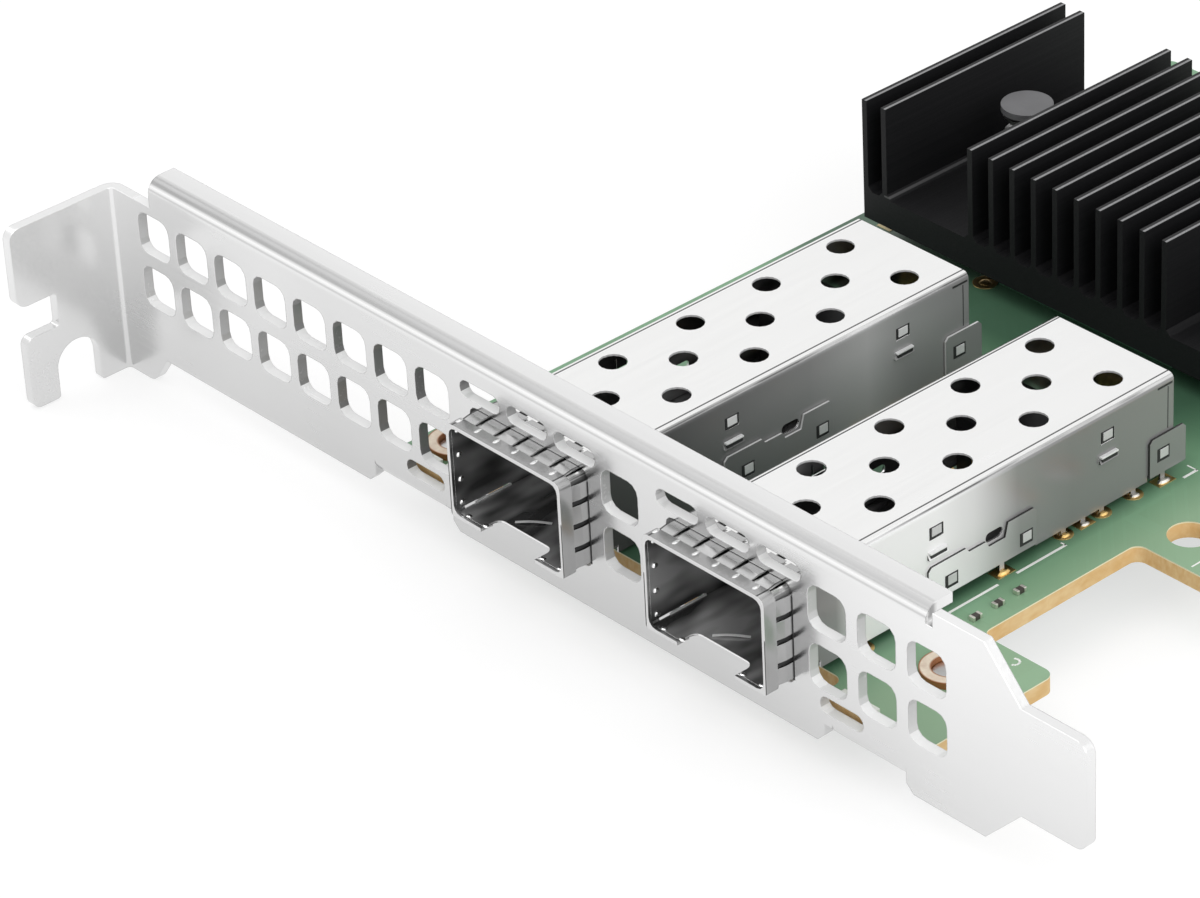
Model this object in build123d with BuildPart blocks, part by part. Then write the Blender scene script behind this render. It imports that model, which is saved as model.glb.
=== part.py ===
from build123d import *
from math import cos, radians, sin
import os

os.makedirs("parts", exist_ok=True)

# A network card with two cage ports, in millimetres.
# The origin is the centre of the tab's screw slot, on the face that seats on the chassis.
# +X runs along the bracket to its tail, +Y from the bracket to the board's far end,
# and +Z up from the board's component side.

# Bracket sheet and overall sizes
sheet = 0.97
bracket_length = 120.02
bracket_width = 18.42
slot_to_face = 5.45
fold_radius = 0.45
foot_drop = 2.95
foot_reach = 4.6
foot_slope_end = 6.73
foot_corner = 1.3

# Tab with its screw slot and hook notch
tab_top = 15.6
tab_reach = 11.3
tab_corner = 1.15
slot_radius = 2.3
finger_width = 3.0
finger_drop = 2.8
finger_corner = 0.9
notch_bottom = 4.4
notch_top = 7.72
notch_depth = 4.2
small_corner = 0.35
hidden_sides = 12

# Tail and flange
tail_extent = 6.92
tail_shoulder = 3.9
tail_width = 10.0
tail_corner = 1.2
plain_width = 18.25
flange_start = 6.46
flange_end = 102.9
flange_depth = 3.05
flange_radius = 1.5
flange_relief = 0.8

# Ears that carry the board
board_bottom = 1.90
ear_1_start = 35.87
ear_2_start = 92.2
ear_1_width = 9.33
ear_2_width = 8.3
ear_1_depth = 9.0
ear_2_depth = 14.5
ear_corner = 1.5
ear_relief = 0.9
ear_relief_top = 1.83
ear_lead = 0.8
screw_1 = (40.6, 5.2)
screw_2 = (95.0, 10.4)
ear_hole_radius = 1.65

# Vent holes and slots of the bracket
vent_height = 4.16
vent_corner = 1.1
corner_flats = 3
vent_low = 5.12
vent_high = 10.6
left_vent_start = 4.55
left_vent_width = 4.32
left_vent_pitch = 5.39
left_vent_count = 8
middle_vent_start = 65.62
middle_vent_width = 4.4
right_vent_start = 89.81
right_vent_width = 4.26
right_vent_pitch = 5.53
right_vent_count = 3
long_slot_width = 5.0
long_slot_height = 1.7
long_slot_middle = 15.0
long_slot_pitch = 5.9
long_slots_per_port = 3
low_slot_width = 4.9
low_slot_height = 1.6
low_slot_middle = 3.8
low_slot_1 = 42.75
low_slot_2 = 93.35

# Board
board_thickness = 1.57
board_left = 37.2
board_rear = 98.4
board_front = 3.8
board_ear_front = 1.45
ear_board_1_end = 46.0
ear_board_2_start = 89.7
foot_board_end = 101.25
foot_board_rear = 16.05
waist_edge = 93.0
leg_front = 34.4
leg_rear = 42.4
leg_hole = (95.2, 38.4)
leg_hole_radius = 1.95
edge_line = 97.75
board_corner = 1.0
contact_pitch = 1.0
contact_width = 0.7
contact_length = 4.3
contact_setback = 0.6
contact_thickness = 0.05
contacts_before_key = 11
contacts_after_key = 38
key_middle = 57.15
key_width = 1.9
key_to_contact = 1.5
contact_margin = 0.65
tongue_end = 106.0
tongue_bevel = 0.4

# Nuts pressed into the board and the screws that come up through the ears
nut_radius = 2.5
nut_flange = 0.6
nut_shank_radius = 2.1
nut_bore = 1.5
nut_clearance = 0.02
screw_radius = 1.45
screw_head_radius = 2.75
screw_head_height = 1.2
screw_recess_radius = 0.9
screw_recess_depth = 0.7
screw_below_top = 0.5

# Cages
cage_centres = (56.6, 80.7)
cage_width = 13.9
cage_wall = 0.2
cage_top = 13.27
cage_front = -2.55
cage_rear = 44.47
cage_bend = 0.6
cage_floor = 4.3
wall_foot = 3.95
mouth_end = 3.2
rear_wall_foot = 5.4
vent_radius = 1.27
vent_first_y = (13.27, 8.85, 13.38)
vent_first_x = 2.71
vent_pitch_x = 3.9
vent_pitch_y = 8.895
vents_per_row = 4
sprung_window = 0.95
sprung_window_y = 2.38
finger_pitch = 2.29
fingers_on_top = 6
side_windows_y = (16.4, 36.45)
side_window_length = 1.6
side_window_height = 1.2
side_window_middle = 10.75
lance_slit = 0.22
louvre_length = 2.2
louvre_top = 9.0
louvre_height = 0.55
louvre_reach = 0.3
flange_front = 15.2
flange_step = 19.5
flange_dip_start = 21.8
flange_dip_end = 24.4
flange_rear = 27.75
flange_top = 7.7
flange_shelf = 7.25
flange_dip = 6.65
flange_rear_top = 7.95
flange_slope = 0.35
latch_hole_y = 23.0
latch_hole_middle = 7.3
latch_hole_length = 2.0
latch_hole_height = 0.9
latch_hole_corner = 0.4
flange_windows_y = (17.8, 26.5)
flange_window_length = 1.5
flange_window_height = 1.3
flange_window_middle = 5.5
corner_front = 41.35
corner_rear = 45.75
corner_top = 8.0
corner_window_y = 43.0
corner_window_middle = 6.15
fit_gap = 0.06
lip_cut_width = 6.8
lip_cut_depth = 1.8
lip_corner = 0.8
socket_bay_front = 29.8
socket_bay_rear = 43.4
socket_bay_margin = 0.9
shell_tails_y = (8.0, 31.15, 33.5, 35.75, 39.6)
tray_tails_y = (23.6, 42.9)
tail_length = 0.55
tail_drop = 0.3
tail_hole_radius = 0.5
tail_hole_sides = 8
round_vent_sides = 16

# Spring-finger collar of a cage
collar_sheet = 0.15
collar_front = -2.85
collar_band = 1.3
collar_rise = 0.8
collar_crown = 1.6
collar_end = 2.3
collar_bulge = 0.15
collar_lip = 0.25
collar_slit = 0.5
collar_corner = 0.4
side_fingers = 4
side_finger_pitch = 2.2
cutout_gap = 0.05
cutout_corner = 0.8

# Socket inside each cage
socket_clearance = 1.2
socket_front = 31.4
socket_depth = 10.2
socket_height = 6.1
socket_shoulder = 3.2
socket_nose = 2.6
card_slot_width = 9.4
card_slot_height = 1.3
card_slot_middle = 3.6
card_slot_depth = 7.0
blade_count = 10
blade_pitch = 0.8
blade_width = 0.4
blade_sheet = 0.2
blade_foot = 1.0
blade_inset = 0.5
peg_radius = 0.75
peg_spacing = 9.6
peg_length = 1.3
peg_gap = 0.05

# Heatsink, its pins, springs and the controller chip
fin_sheet = 0.6
fin_top = 17.67
fin_front = 54.38
fin_rear = 80.1
fin_root = 0.5
base_bottom = 5.55
base_top = 8.45
outer_fin = 40.36
outer_fin_pitch = 2.41
first_fin = 53.62
fin_pitch = 2.598
fin_count = 10
pin_head_radius = 2.4
pin_head_top = 15.2
pin_head_height = 0.6
pin_radius = 1.4
pin_hole_radius = 1.6
pin_barb_radius = 1.75
pin_barb_height = 1.5
pin_tip_radius = 0.9
pin_slot = 0.6
spring_radius = 1.95
spring_wire = 0.4
spring_turns = 4
spring_runs = 8
spring_play = 0.01
chip_size = 21.0
chip_base_height = 1.2
chip_lid_size = 16.0
chip_lid_height = 0.6

# Small parts on the board: length along X, depth along Y and height
led_size = (1.6, 0.8, 0.7)
led_spacing = 2.4
led_y = 1.9
resistor_size = (0.55, 1.05, 0.4)
resistors_at = ((91.15, 17.25), (91.1, 19.9), (91.03, 22.5))
capacitor_size = (2.0, 1.25, 1.25)
capacitors_at = ((41.0, 84.0), (41.0, 87.0), (41.0, 90.0), (94.0, 84.0), (94.0, 87.0), (94.0, 90.0))
inductor_size = (6.6, 6.6, 3.0)
inductors_at = ((47.5, 87.0), (56.0, 87.0))
inductor_corner = 0.8
regulator_size = (5.0, 5.0, 0.9)
regulators_at = ((64.0, 87.0), (71.0, 87.0))
flash_size = (5.2, 5.2, 1.75)
flash_at = (79.0, 87.0)
flash_leg = (0.42, 0.9, 0.2)
flash_leg_pitch = 1.27
clock_size = (3.2, 2.5, 0.8)
clock_at = (87.0, 87.0)
clock_corner = 0.4

# Derived datums of the shared frame
left_x = -sheet
face_y = slot_to_face
inner_face_y = face_y + sheet
board_top = board_bottom + board_thickness
end_x = left_x + bracket_length
tail_neck = bracket_length - tail_extent
tail_start = tail_neck - tail_shoulder
high_z = bracket_width + sheet
low_z = -foot_drop - sheet
socket_bay_width = cage_width - 2 * socket_bay_margin
socket_width = cage_width - 2 * socket_clearance
tongue_front = key_middle - key_to_contact - contact_pitch * (contacts_before_key - 1) - contact_margin
tongue_rear = key_middle + key_to_contact + contact_pitch * (contacts_after_key - 1) + contact_margin
base_middle = first_fin + (fin_pitch * (fin_count - 1) + fin_sheet) / 2
channel_start = outer_fin + outer_fin_pitch + fin_sheet
pin_offset = base_middle - (channel_start + first_fin) / 2
fin_middle_y = (fin_front + fin_rear) / 2


def at_x(distance):
    return left_x + distance


def at_y(distance):
    return face_y + distance


def upright(y):
    """A plane that faces the front at a given Y, with X across and Z up."""
    return Plane.XZ.offset(-y)


def corner_at(sketch, across, up):
    """The sketch's corner nearest to a point of its own plane."""
    return sketch.vertices().sort_by_distance((across, up, 0))[0]


def soft_corners(width, height, corner):
    """Points of an upright rectangle whose corners are each rounded by a few flats."""
    points = []
    for turn, (side, up) in enumerate(((1, 1), (-1, 1), (-1, -1), (1, -1))):
        for step in range(corner_flats + 1):
            angle = radians(90 * (turn + step / corner_flats))
            across = side * (width / 2 - corner) + corner * cos(angle)
            points.append((across, up * (height / 2 - corner) + corner * sin(angle)))
    return points


def save(part, name):
    part.label = name
    export_step(part, "parts/" + name + ".step")


# Bracket: a folded strip, cut to its front and side outlines
collar_side = cage_width / 2 + collar_sheet + collar_bulge + cutout_gap
cutout_top = cage_top + collar_sheet + collar_bulge + cutout_gap
cutout_bottom = cage_floor - collar_sheet - 3 * cutout_gap
ear_bottom = board_bottom - sheet
ear_bend_top = ear_bottom + fold_radius + sheet

with BuildPart() as bracket:
    with BuildSketch(Plane.XY.offset(low_z)) as plan:
        with BuildLine():
            Polyline(
                (left_x, at_y(-tab_reach)),
                (left_x, inner_face_y),
                (end_x, inner_face_y),
                (end_x, face_y),
                (0, face_y),
                (0, at_y(-tab_reach)),
                close=True,
            )
        make_face()
        fillet(corner_at(plan, left_x, inner_face_y), fold_radius + sheet)
        fillet(corner_at(plan, 0, face_y), fold_radius)
    extrude(amount=high_z - low_z)

    # Front outline, with the tail at the right
    with BuildSketch(upright(at_y(-tab_reach) - sheet)) as front:
        with BuildLine():
            Polyline(
                (left_x, tab_top),
                (left_x, -foot_drop),
                (at_x(foot_reach), -foot_drop),
                (at_x(foot_slope_end), 0),
                (at_x(tail_start), 0),
                (at_x(tail_neck), tail_neck - tail_start),
                (end_x, tail_neck - tail_start),
                (end_x, tail_neck - tail_start + tail_width),
                (at_x(tail_neck), tail_neck - tail_start + tail_width),
                (at_x(tail_start), plain_width),
                (at_x(flange_end) + flange_relief, plain_width),
                (at_x(flange_end) + flange_relief, bracket_width - flange_radius),
                (at_x(flange_start), bracket_width - flange_radius),
                (at_x(flange_start), tab_top),
                close=True,
            )
        make_face()
        fillet(front.vertices().group_by(Axis.X)[-1], tail_corner)
        fillet(corner_at(front, at_x(foot_reach), -foot_drop), foot_corner)
    extrude(amount=-(tab_reach + 3 * sheet), mode=Mode.INTERSECT)

    # Side outline of the tab, with the open screw slot and the hook notch
    with BuildSketch(Plane.YZ.offset(left_x - sheet)) as tab:
        with BuildLine():
            Polyline(
                (inner_face_y + sheet, high_z),
                (inner_face_y + sheet, low_z),
                (face_y - sheet, low_z),
                (face_y - sheet, -foot_drop),
                (slot_radius, -foot_drop),
                (slot_radius, 0),
            )
            ThreePointArc((slot_radius, 0), (0, slot_radius), (-slot_radius, 0))
            Polyline(
                (-slot_radius, 0),
                (-slot_radius, -finger_drop),
                (-slot_radius - finger_width, -finger_drop),
                (-slot_radius - finger_width, notch_bottom),
                (at_y(-tab_reach) + notch_depth, notch_bottom),
                (at_y(-tab_reach) + notch_depth, notch_top),
                (at_y(-tab_reach), notch_top),
                (at_y(-tab_reach), tab_top),
                (face_y - sheet, tab_top),
                (face_y - sheet, high_z),
                (inner_face_y + sheet, high_z),
            )
        make_face()
        fillet(corner_at(tab, at_y(-tab_reach), tab_top), tab_corner)
        fillet(corner_at(tab, at_y(-tab_reach), notch_top), tab_corner)
        fillet(corner_at(tab, -slot_radius - finger_width, notch_bottom), finger_corner)
        fillet(corner_at(tab, -slot_radius - finger_width, -finger_drop), finger_corner)
        fillet(corner_at(tab, at_y(-tab_reach) + notch_depth, notch_bottom), small_corner)
        fillet(corner_at(tab, at_y(-tab_reach) + notch_depth, notch_top), small_corner)
        fillet(corner_at(tab, -slot_radius, -finger_drop), small_corner)
        fillet(corner_at(tab, slot_radius, -foot_drop), small_corner)
    extrude(amount=bracket_length + 2 * sheet, mode=Mode.INTERSECT)

    # Top flange, bent back over the board
    with BuildSketch(Plane.YZ.offset(at_x(flange_start))) as flange:
        with BuildLine():
            Polyline(
                (face_y, bracket_width - 2 * flange_radius),
                (face_y, bracket_width),
                (at_y(flange_depth), bracket_width),
                (at_y(flange_depth), bracket_width - sheet),
                (inner_face_y, bracket_width - sheet),
                (inner_face_y, bracket_width - 2 * flange_radius),
                close=True,
            )
        make_face()
        fillet(corner_at(flange, face_y, bracket_width), flange_radius)
        fillet(corner_at(flange, inner_face_y, bracket_width - sheet), flange_radius - sheet)
    extrude(amount=flange_end - flange_start)

    # Room for the ears' bends, with a relief cut beside each ear
    ears = (
        (ear_1_start, ear_1_width, ear_1_depth, screw_1, 1),
        (ear_2_start, ear_2_width, ear_2_depth, screw_2, -1),
    )
    for start, width, depth, screw, relief_side in ears:
        middle = at_x(start) + width / 2
        near = middle + relief_side * width / 2
        far = middle - relief_side * width / 2
        with BuildSketch(upright(face_y)):
            with BuildLine():
                Polyline(
                    (far - relief_side * ear_lead, 0),
                    (far, ear_lead),
                    (far, ear_bend_top),
                    (near, ear_bend_top),
                    (near, ear_relief_top),
                    (near + relief_side * ear_relief, ear_relief_top),
                    (near + relief_side * ear_relief, ear_lead),
                    (near + relief_side * (ear_relief + ear_lead), 0),
                    close=True,
                )
            make_face()
        extrude(amount=-sheet, mode=Mode.SUBTRACT)
        with BuildSketch(Plane.YZ.offset(at_x(start))) as ear:
            with BuildLine():
                Polyline(
                    (face_y, ear_bend_top + sheet),
                    (face_y, ear_bottom),
                    (at_y(depth - ear_corner), ear_bottom),
                    (at_y(depth - ear_corner), board_bottom),
                    (inner_face_y, board_bottom),
                    (inner_face_y, ear_bend_top + sheet),
                    close=True,
                )
            make_face()
            fillet(corner_at(ear, face_y, ear_bottom), fold_radius + sheet)
            fillet(corner_at(ear, inner_face_y, board_bottom), fold_radius)
        extrude(amount=width)
        with BuildSketch(Plane.XY.offset(ear_bottom)):
            with Locations((middle, at_y(depth - 2 * ear_corner))):
                RectangleRounded(width, 4 * ear_corner, ear_corner)
        extrude(amount=sheet)
        with BuildSketch(Plane.XY.offset(ear_bottom)):
            with Locations((at_x(screw[0]), at_y(screw[1]))):
                Circle(ear_hole_radius)
        extrude(amount=sheet, mode=Mode.SUBTRACT)

    # Vent holes, slots and port cut-outs
    vent_groups = (
        (left_vent_start, left_vent_width, left_vent_pitch, left_vent_count),
        (middle_vent_start, middle_vent_width, 0, 1),
        (right_vent_start, right_vent_width, right_vent_pitch, right_vent_count),
    )
    long_slot_end = long_slot_height / 2 - fit_gap
    low_slot_end = low_slot_height / 2 - fit_gap
    with BuildSketch(upright(face_y)):
        for start, width, pitch, count in vent_groups:
            for column in range(count):
                for row in (vent_low, vent_high):
                    with Locations((at_x(start + pitch * column) + width / 2, row + vent_height / 2)):
                        Polygon(*soft_corners(width, vent_height, vent_corner))
        for centre in cage_centres:
            with Locations((at_x(centre), long_slot_middle)):
                with GridLocations(long_slot_pitch, 1, long_slots_per_port, 1):
                    Polygon(*soft_corners(long_slot_width, long_slot_height, long_slot_end))
            with Locations((at_x(centre), (cutout_top + cutout_bottom) / 2)):
                Polygon(*soft_corners(2 * collar_side, cutout_top - cutout_bottom, cutout_corner))
        for centre in (low_slot_1, low_slot_2):
            with Locations((at_x(centre), low_slot_middle)):
                Polygon(*soft_corners(low_slot_width, low_slot_height, low_slot_end))
    extrude(amount=-sheet, mode=Mode.SUBTRACT)
save(bracket.part, "bracket")

# Screws from below the ears, with a round drive recess in the head
with BuildPart() as bracket_screws:
    for place in (screw_1, screw_2):
        spot = (at_x(place[0]), at_y(place[1]))
        with BuildSketch(Plane.XY.offset(ear_bottom - screw_head_height)):
            with Locations(spot):
                Circle(screw_head_radius)
        extrude(amount=screw_head_height)
        with BuildSketch(Plane.XY.offset(ear_bottom)):
            with Locations(spot):
                RegularPolygon(screw_radius, hidden_sides)
        extrude(amount=board_top + nut_flange - screw_below_top - ear_bottom)
        with BuildSketch(Plane.XY.offset(ear_bottom - screw_head_height)):
            with Locations(spot):
                RegularPolygon(screw_recess_radius, 6)
        extrude(amount=screw_recess_depth, mode=Mode.SUBTRACT)
save(bracket_screws.part, "bracket_screws")

# Nuts pressed into the board, flange on the component side
with BuildPart() as board_nuts:
    for place in (screw_1, screw_2):
        spot = (at_x(place[0]), at_y(place[1]))
        with BuildSketch(Plane.XY.offset(board_bottom)):
            with Locations(spot):
                RegularPolygon(nut_shank_radius, hidden_sides)
        extrude(amount=board_thickness)
        with BuildSketch(Plane.XY.offset(board_top)):
            with Locations(spot):
                Circle(nut_radius)
        extrude(amount=nut_flange)
        with BuildSketch(Plane.XY.offset(board_bottom)):
            with Locations(spot):
                Circle(nut_bore)
        extrude(amount=board_thickness + nut_flange, mode=Mode.SUBTRACT)
save(board_nuts.part, "board_nuts")

# Board with its waist, leg and edge tongue
cage_half = cage_width / 2
flange_half = cage_half + fit_gap + cage_wall
shell_tail_x = cage_half - cage_wall / 2
tray_tail_x = flange_half - cage_wall / 2
peg_y = socket_front + socket_depth / 2
pin_spots = [(at_x(base_middle + side * pin_offset), at_y(fin_middle_y)) for side in (-1, 1)]
tail_spots = []
for centre in cage_centres:
    for side in (-1, 1):
        for y in shell_tails_y:
            tail_spots.append((at_x(centre) + side * shell_tail_x, at_y(y)))
        for y in tray_tails_y:
            tail_spots.append((at_x(centre) + side * tray_tail_x, at_y(y)))

with BuildPart() as pcb:
    with BuildSketch(Plane.XY.offset(board_bottom)) as outline:
        with BuildLine():
            Polyline(
                (at_x(board_left), at_y(board_ear_front)),
                (at_x(ear_board_1_end), at_y(board_ear_front)),
                (at_x(ear_board_1_end), at_y(board_front)),
                (at_x(ear_board_2_start), at_y(board_front)),
                (at_x(ear_board_2_start), at_y(board_ear_front)),
                (at_x(foot_board_end), at_y(board_ear_front)),
                (at_x(foot_board_end), at_y(foot_board_rear)),
                (at_x(waist_edge), at_y(foot_board_rear)),
                (at_x(waist_edge), at_y(leg_front)),
                (at_x(foot_board_end), at_y(leg_front)),
                (at_x(foot_board_end), at_y(leg_rear)),
                (at_x(edge_line), at_y(leg_rear)),
                (at_x(edge_line), at_y(tongue_front)),
                (at_x(tongue_end), at_y(tongue_front)),
                (at_x(tongue_end), at_y(tongue_rear)),
                (at_x(edge_line), at_y(tongue_rear)),
                (at_x(edge_line), at_y(board_rear)),
                (at_x(board_left), at_y(board_rear)),
                close=True,
            )
        make_face()
        rounded = [v for v in outline.vertices() if v.X < at_x(tongue_end) - board_corner]
        fillet(rounded, board_corner)
        key_depth = tongue_end - edge_line
        with Locations((at_x(tongue_end), at_y(key_middle))):
            RectangleRounded(2 * key_depth, key_width, key_width / 2 - fit_gap, mode=Mode.SUBTRACT)
        for spot in (screw_1, screw_2):
            with Locations((at_x(spot[0]), at_y(spot[1]))):
                RegularPolygon(nut_shank_radius + nut_clearance, hidden_sides, mode=Mode.SUBTRACT)
        with Locations((at_x(leg_hole[0]), at_y(leg_hole[1]))):
            Circle(leg_hole_radius, mode=Mode.SUBTRACT)
        with Locations(*pin_spots):
            RegularPolygon(pin_hole_radius, hidden_sides, mode=Mode.SUBTRACT)
        with Locations(*tail_spots):
            RegularPolygon(tail_hole_radius, tail_hole_sides, mode=Mode.SUBTRACT)
        for centre in cage_centres:
            with Locations((at_x(centre), at_y(peg_y))):
                with GridLocations(peg_spacing, 1, 2, 1):
                    RegularPolygon(peg_radius + peg_gap, hidden_sides, mode=Mode.SUBTRACT)
    extrude(amount=board_thickness)
    tip_x = at_x(tongue_end)
    along_tip = pcb.edges().filter_by(Axis.Y)
    chamfer(along_tip.filter_by_position(Axis.X, tip_x - fit_gap, tip_x + fit_gap), tongue_bevel)
save(pcb.part, "pcb")

# Contacts on both faces of the tongue
contact_y = [key_middle - key_to_contact - contact_pitch * i for i in range(contacts_before_key)]
contact_y += [key_middle + key_to_contact + contact_pitch * i for i in range(contacts_after_key)]
contact_x = at_x(tongue_end) - contact_setback - contact_length / 2
with BuildPart() as edge_contacts:
    for z in (board_bottom - contact_thickness, board_top):
        with BuildSketch(Plane.XY.offset(z)):
            with Locations(*[(contact_x, at_y(y)) for y in contact_y]):
                Rectangle(contact_length, contact_width)
        extrude(amount=contact_thickness)
save(edge_contacts.part, "edge_contacts")


def make_shell(centre):
    """Upper shell of a cage, open at the front and below, with tails into the board."""
    middle = at_x(centre)
    with BuildPart() as shell:
        with BuildSketch(upright(at_y(cage_front))) as outside:
            with Locations((middle, (cage_top + wall_foot) / 2)):
                Rectangle(cage_width, cage_top - wall_foot)
            fillet(outside.vertices().group_by(Axis.Y)[-1], cage_bend)
        extrude(amount=-(cage_rear - cage_front))
        with BuildSketch(upright(at_y(cage_front))) as inside:
            with Locations((middle, (cage_top + wall_foot) / 2 - cage_wall)):
                Rectangle(cage_width - 2 * cage_wall, cage_top - wall_foot)
            fillet(inside.vertices().group_by(Axis.Y)[-1], cage_bend - cage_wall)
        extrude(amount=-(cage_rear - cage_front - cage_wall), mode=Mode.SUBTRACT)

        # Rear wall foot, the shorter sides through the bracket, and the notches for the tray's flanges
        with BuildSketch(upright(at_y(cage_rear))):
            with Locations((middle, (wall_foot + rear_wall_foot) / 2)):
                Rectangle(cage_width, rear_wall_foot - wall_foot)
        extrude(amount=cage_wall, mode=Mode.SUBTRACT)
        flange_clear = cage_floor + cage_wall + fit_gap
        notches = (
            (cage_front, mouth_end, cage_floor + collar_corner),
            (flange_front, flange_rear, flange_clear),
            (corner_front, cage_rear, flange_clear),
        )
        for front_y, rear_y, top in notches:
            with BuildSketch(Plane.YZ.offset(middle - cage_width)):
                with Locations((at_y((front_y + rear_y) / 2), (wall_foot + top) / 2)):
                    Rectangle(rear_y - front_y + 2 * fit_gap, top - wall_foot)
            extrude(amount=2 * cage_width, mode=Mode.SUBTRACT)

        # Round vents and the small sprung windows in the top
        with BuildSketch(Plane.XY.offset(cage_top - cage_wall)):
            for row, first_y in enumerate(vent_first_y):
                x = middle - cage_half + vent_first_x + vent_pitch_x * row
                with Locations(*[(x, at_y(first_y + vent_pitch_y * i)) for i in range(vents_per_row)]):
                    RegularPolygon(vent_radius, round_vent_sides)
            with Locations((middle, at_y(sprung_window_y))):
                with GridLocations(finger_pitch, 1, fingers_on_top, 1):
                    Rectangle(sprung_window, sprung_window)
        extrude(amount=cage_wall, mode=Mode.SUBTRACT)

        # Lanced tongues, latch holes and louvres in both sides
        with BuildSketch(Plane.YZ.offset(middle - cage_width)):
            for y in side_windows_y:
                with Locations((at_y(y), side_window_middle)):
                    Rectangle(side_window_length, side_window_height)
                with Locations((at_y(y), side_window_middle + lance_slit)):
                    Rectangle(side_window_length - 2 * lance_slit, side_window_height, mode=Mode.SUBTRACT)
            with Locations((at_y(latch_hole_y), latch_hole_middle)):
                Polygon(*soft_corners(latch_hole_length, latch_hole_height, latch_hole_corner))
        extrude(amount=2 * cage_width, mode=Mode.SUBTRACT)
        for side in (-1, 1):
            for y in side_windows_y:
                with BuildSketch(upright(at_y(y) - louvre_length / 2)):
                    with BuildLine():
                        Polyline(
                            (middle + side * cage_half, louvre_top),
                            (middle + side * cage_half, louvre_top - louvre_height),
                            (middle + side * (cage_half + louvre_reach), louvre_top - louvre_height),
                            close=True,
                        )
                    make_face()
                extrude(amount=-louvre_length)

        # Tails through the board
        tail_bottom = board_bottom - tail_drop
        with BuildSketch(Plane.XY.offset(tail_bottom)):
            for side in (-1, 1):
                with Locations(*[(middle + side * shell_tail_x, at_y(y)) for y in shell_tails_y]):
                    Rectangle(cage_wall, tail_length)
        extrude(amount=wall_foot - tail_bottom)
    return shell.part


def make_tray(centre):
    """Lower tray of a cage: floor, side flanges outside the shell and rear corner tabs."""
    middle = at_x(centre)
    inner_width = cage_width - 2 * cage_wall - 2 * fit_gap
    with BuildPart() as tray:
        with BuildSketch(Plane.XY.offset(cage_floor)) as floor:
            with Locations((middle, at_y((cage_front + cage_rear - cage_wall) / 2))):
                Rectangle(inner_width, cage_rear - cage_wall - cage_front - 2 * fit_gap)
            for front_y, rear_y in ((flange_front, flange_rear), (corner_front, cage_rear)):
                with Locations((middle, at_y((front_y + rear_y) / 2))):
                    Rectangle(2 * flange_half, rear_y - front_y)
            with Locations((middle, at_y((socket_bay_front + socket_bay_rear) / 2))):
                Rectangle(socket_bay_width, socket_bay_rear - socket_bay_front, mode=Mode.SUBTRACT)
            with Locations((middle, at_y(cage_front))):
                RectangleRounded(lip_cut_width, 2 * lip_cut_depth, lip_corner, mode=Mode.SUBTRACT)
        extrude(amount=cage_wall)

        # Side flange outline, with a dip between its two latch windows
        for side in (-1, 1):
            flange_x = middle + side * flange_half - (cage_wall if side > 0 else 0)
            with BuildSketch(Plane.YZ.offset(flange_x)) as flange:
                with BuildLine():
                    Polyline(
                        (at_y(flange_front), cage_floor),
                        (at_y(flange_front), flange_top),
                        (at_y(flange_step), flange_top),
                        (at_y(flange_step) + flange_slope, flange_shelf),
                        (at_y(flange_dip_start), flange_shelf),
                        (at_y(flange_dip_start) + flange_slope, flange_dip),
                        (at_y(flange_dip_end) - flange_slope, flange_dip),
                        (at_y(flange_dip_end), flange_rear_top),
                        (at_y(flange_rear), flange_rear_top),
                        (at_y(flange_rear), cage_floor),
                        close=True,
                    )
                make_face()
                chamfer(corner_at(flange, at_y(flange_front), flange_top), small_corner)
                chamfer(corner_at(flange, at_y(flange_rear), flange_rear_top), small_corner)
                for y in flange_windows_y:
                    with Locations((at_y(y), flange_window_middle)):
                        Rectangle(flange_window_length, flange_window_height, mode=Mode.SUBTRACT)
            extrude(amount=cage_wall)
            with BuildSketch(Plane.YZ.offset(flange_x)) as corner:
                with Locations((at_y((corner_front + corner_rear) / 2), (corner_top + cage_floor) / 2)):
                    Rectangle(corner_rear - corner_front, corner_top - cage_floor)
                chamfer(corner.vertices().group_by(Axis.Y)[-1], small_corner)
                with Locations((at_y(corner_window_y), corner_window_middle)):
                    Rectangle(flange_window_length, flange_window_height, mode=Mode.SUBTRACT)
            extrude(amount=cage_wall)
        tail_bottom = board_bottom - tail_drop
        with BuildSketch(Plane.XY.offset(tail_bottom)):
            for side in (-1, 1):
                with Locations(*[(middle + side * tray_tail_x, at_y(y)) for y in tray_tails_y]):
                    Rectangle(cage_wall, tail_length)
        extrude(amount=cage_floor - tail_bottom)
    return tray.part


def finger_profile(base, direction):
    """Points of a spring finger's section: along Y, and out from a base level in a direction."""
    crown_start = collar_front + collar_band + collar_rise
    crown_end = crown_start + collar_crown
    outer = [
        (at_y(collar_front), base + direction * collar_sheet),
        (at_y(collar_front + collar_band), base + direction * collar_sheet),
        (at_y(crown_start), base + direction * (collar_sheet + collar_bulge)),
        (at_y(crown_end), base + direction * (collar_sheet + collar_bulge)),
        (at_y(collar_end), base + direction * collar_sheet),
    ]
    inner = [(y, z - direction * collar_sheet) for y, z in reversed(outer)]
    return outer + inner


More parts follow.
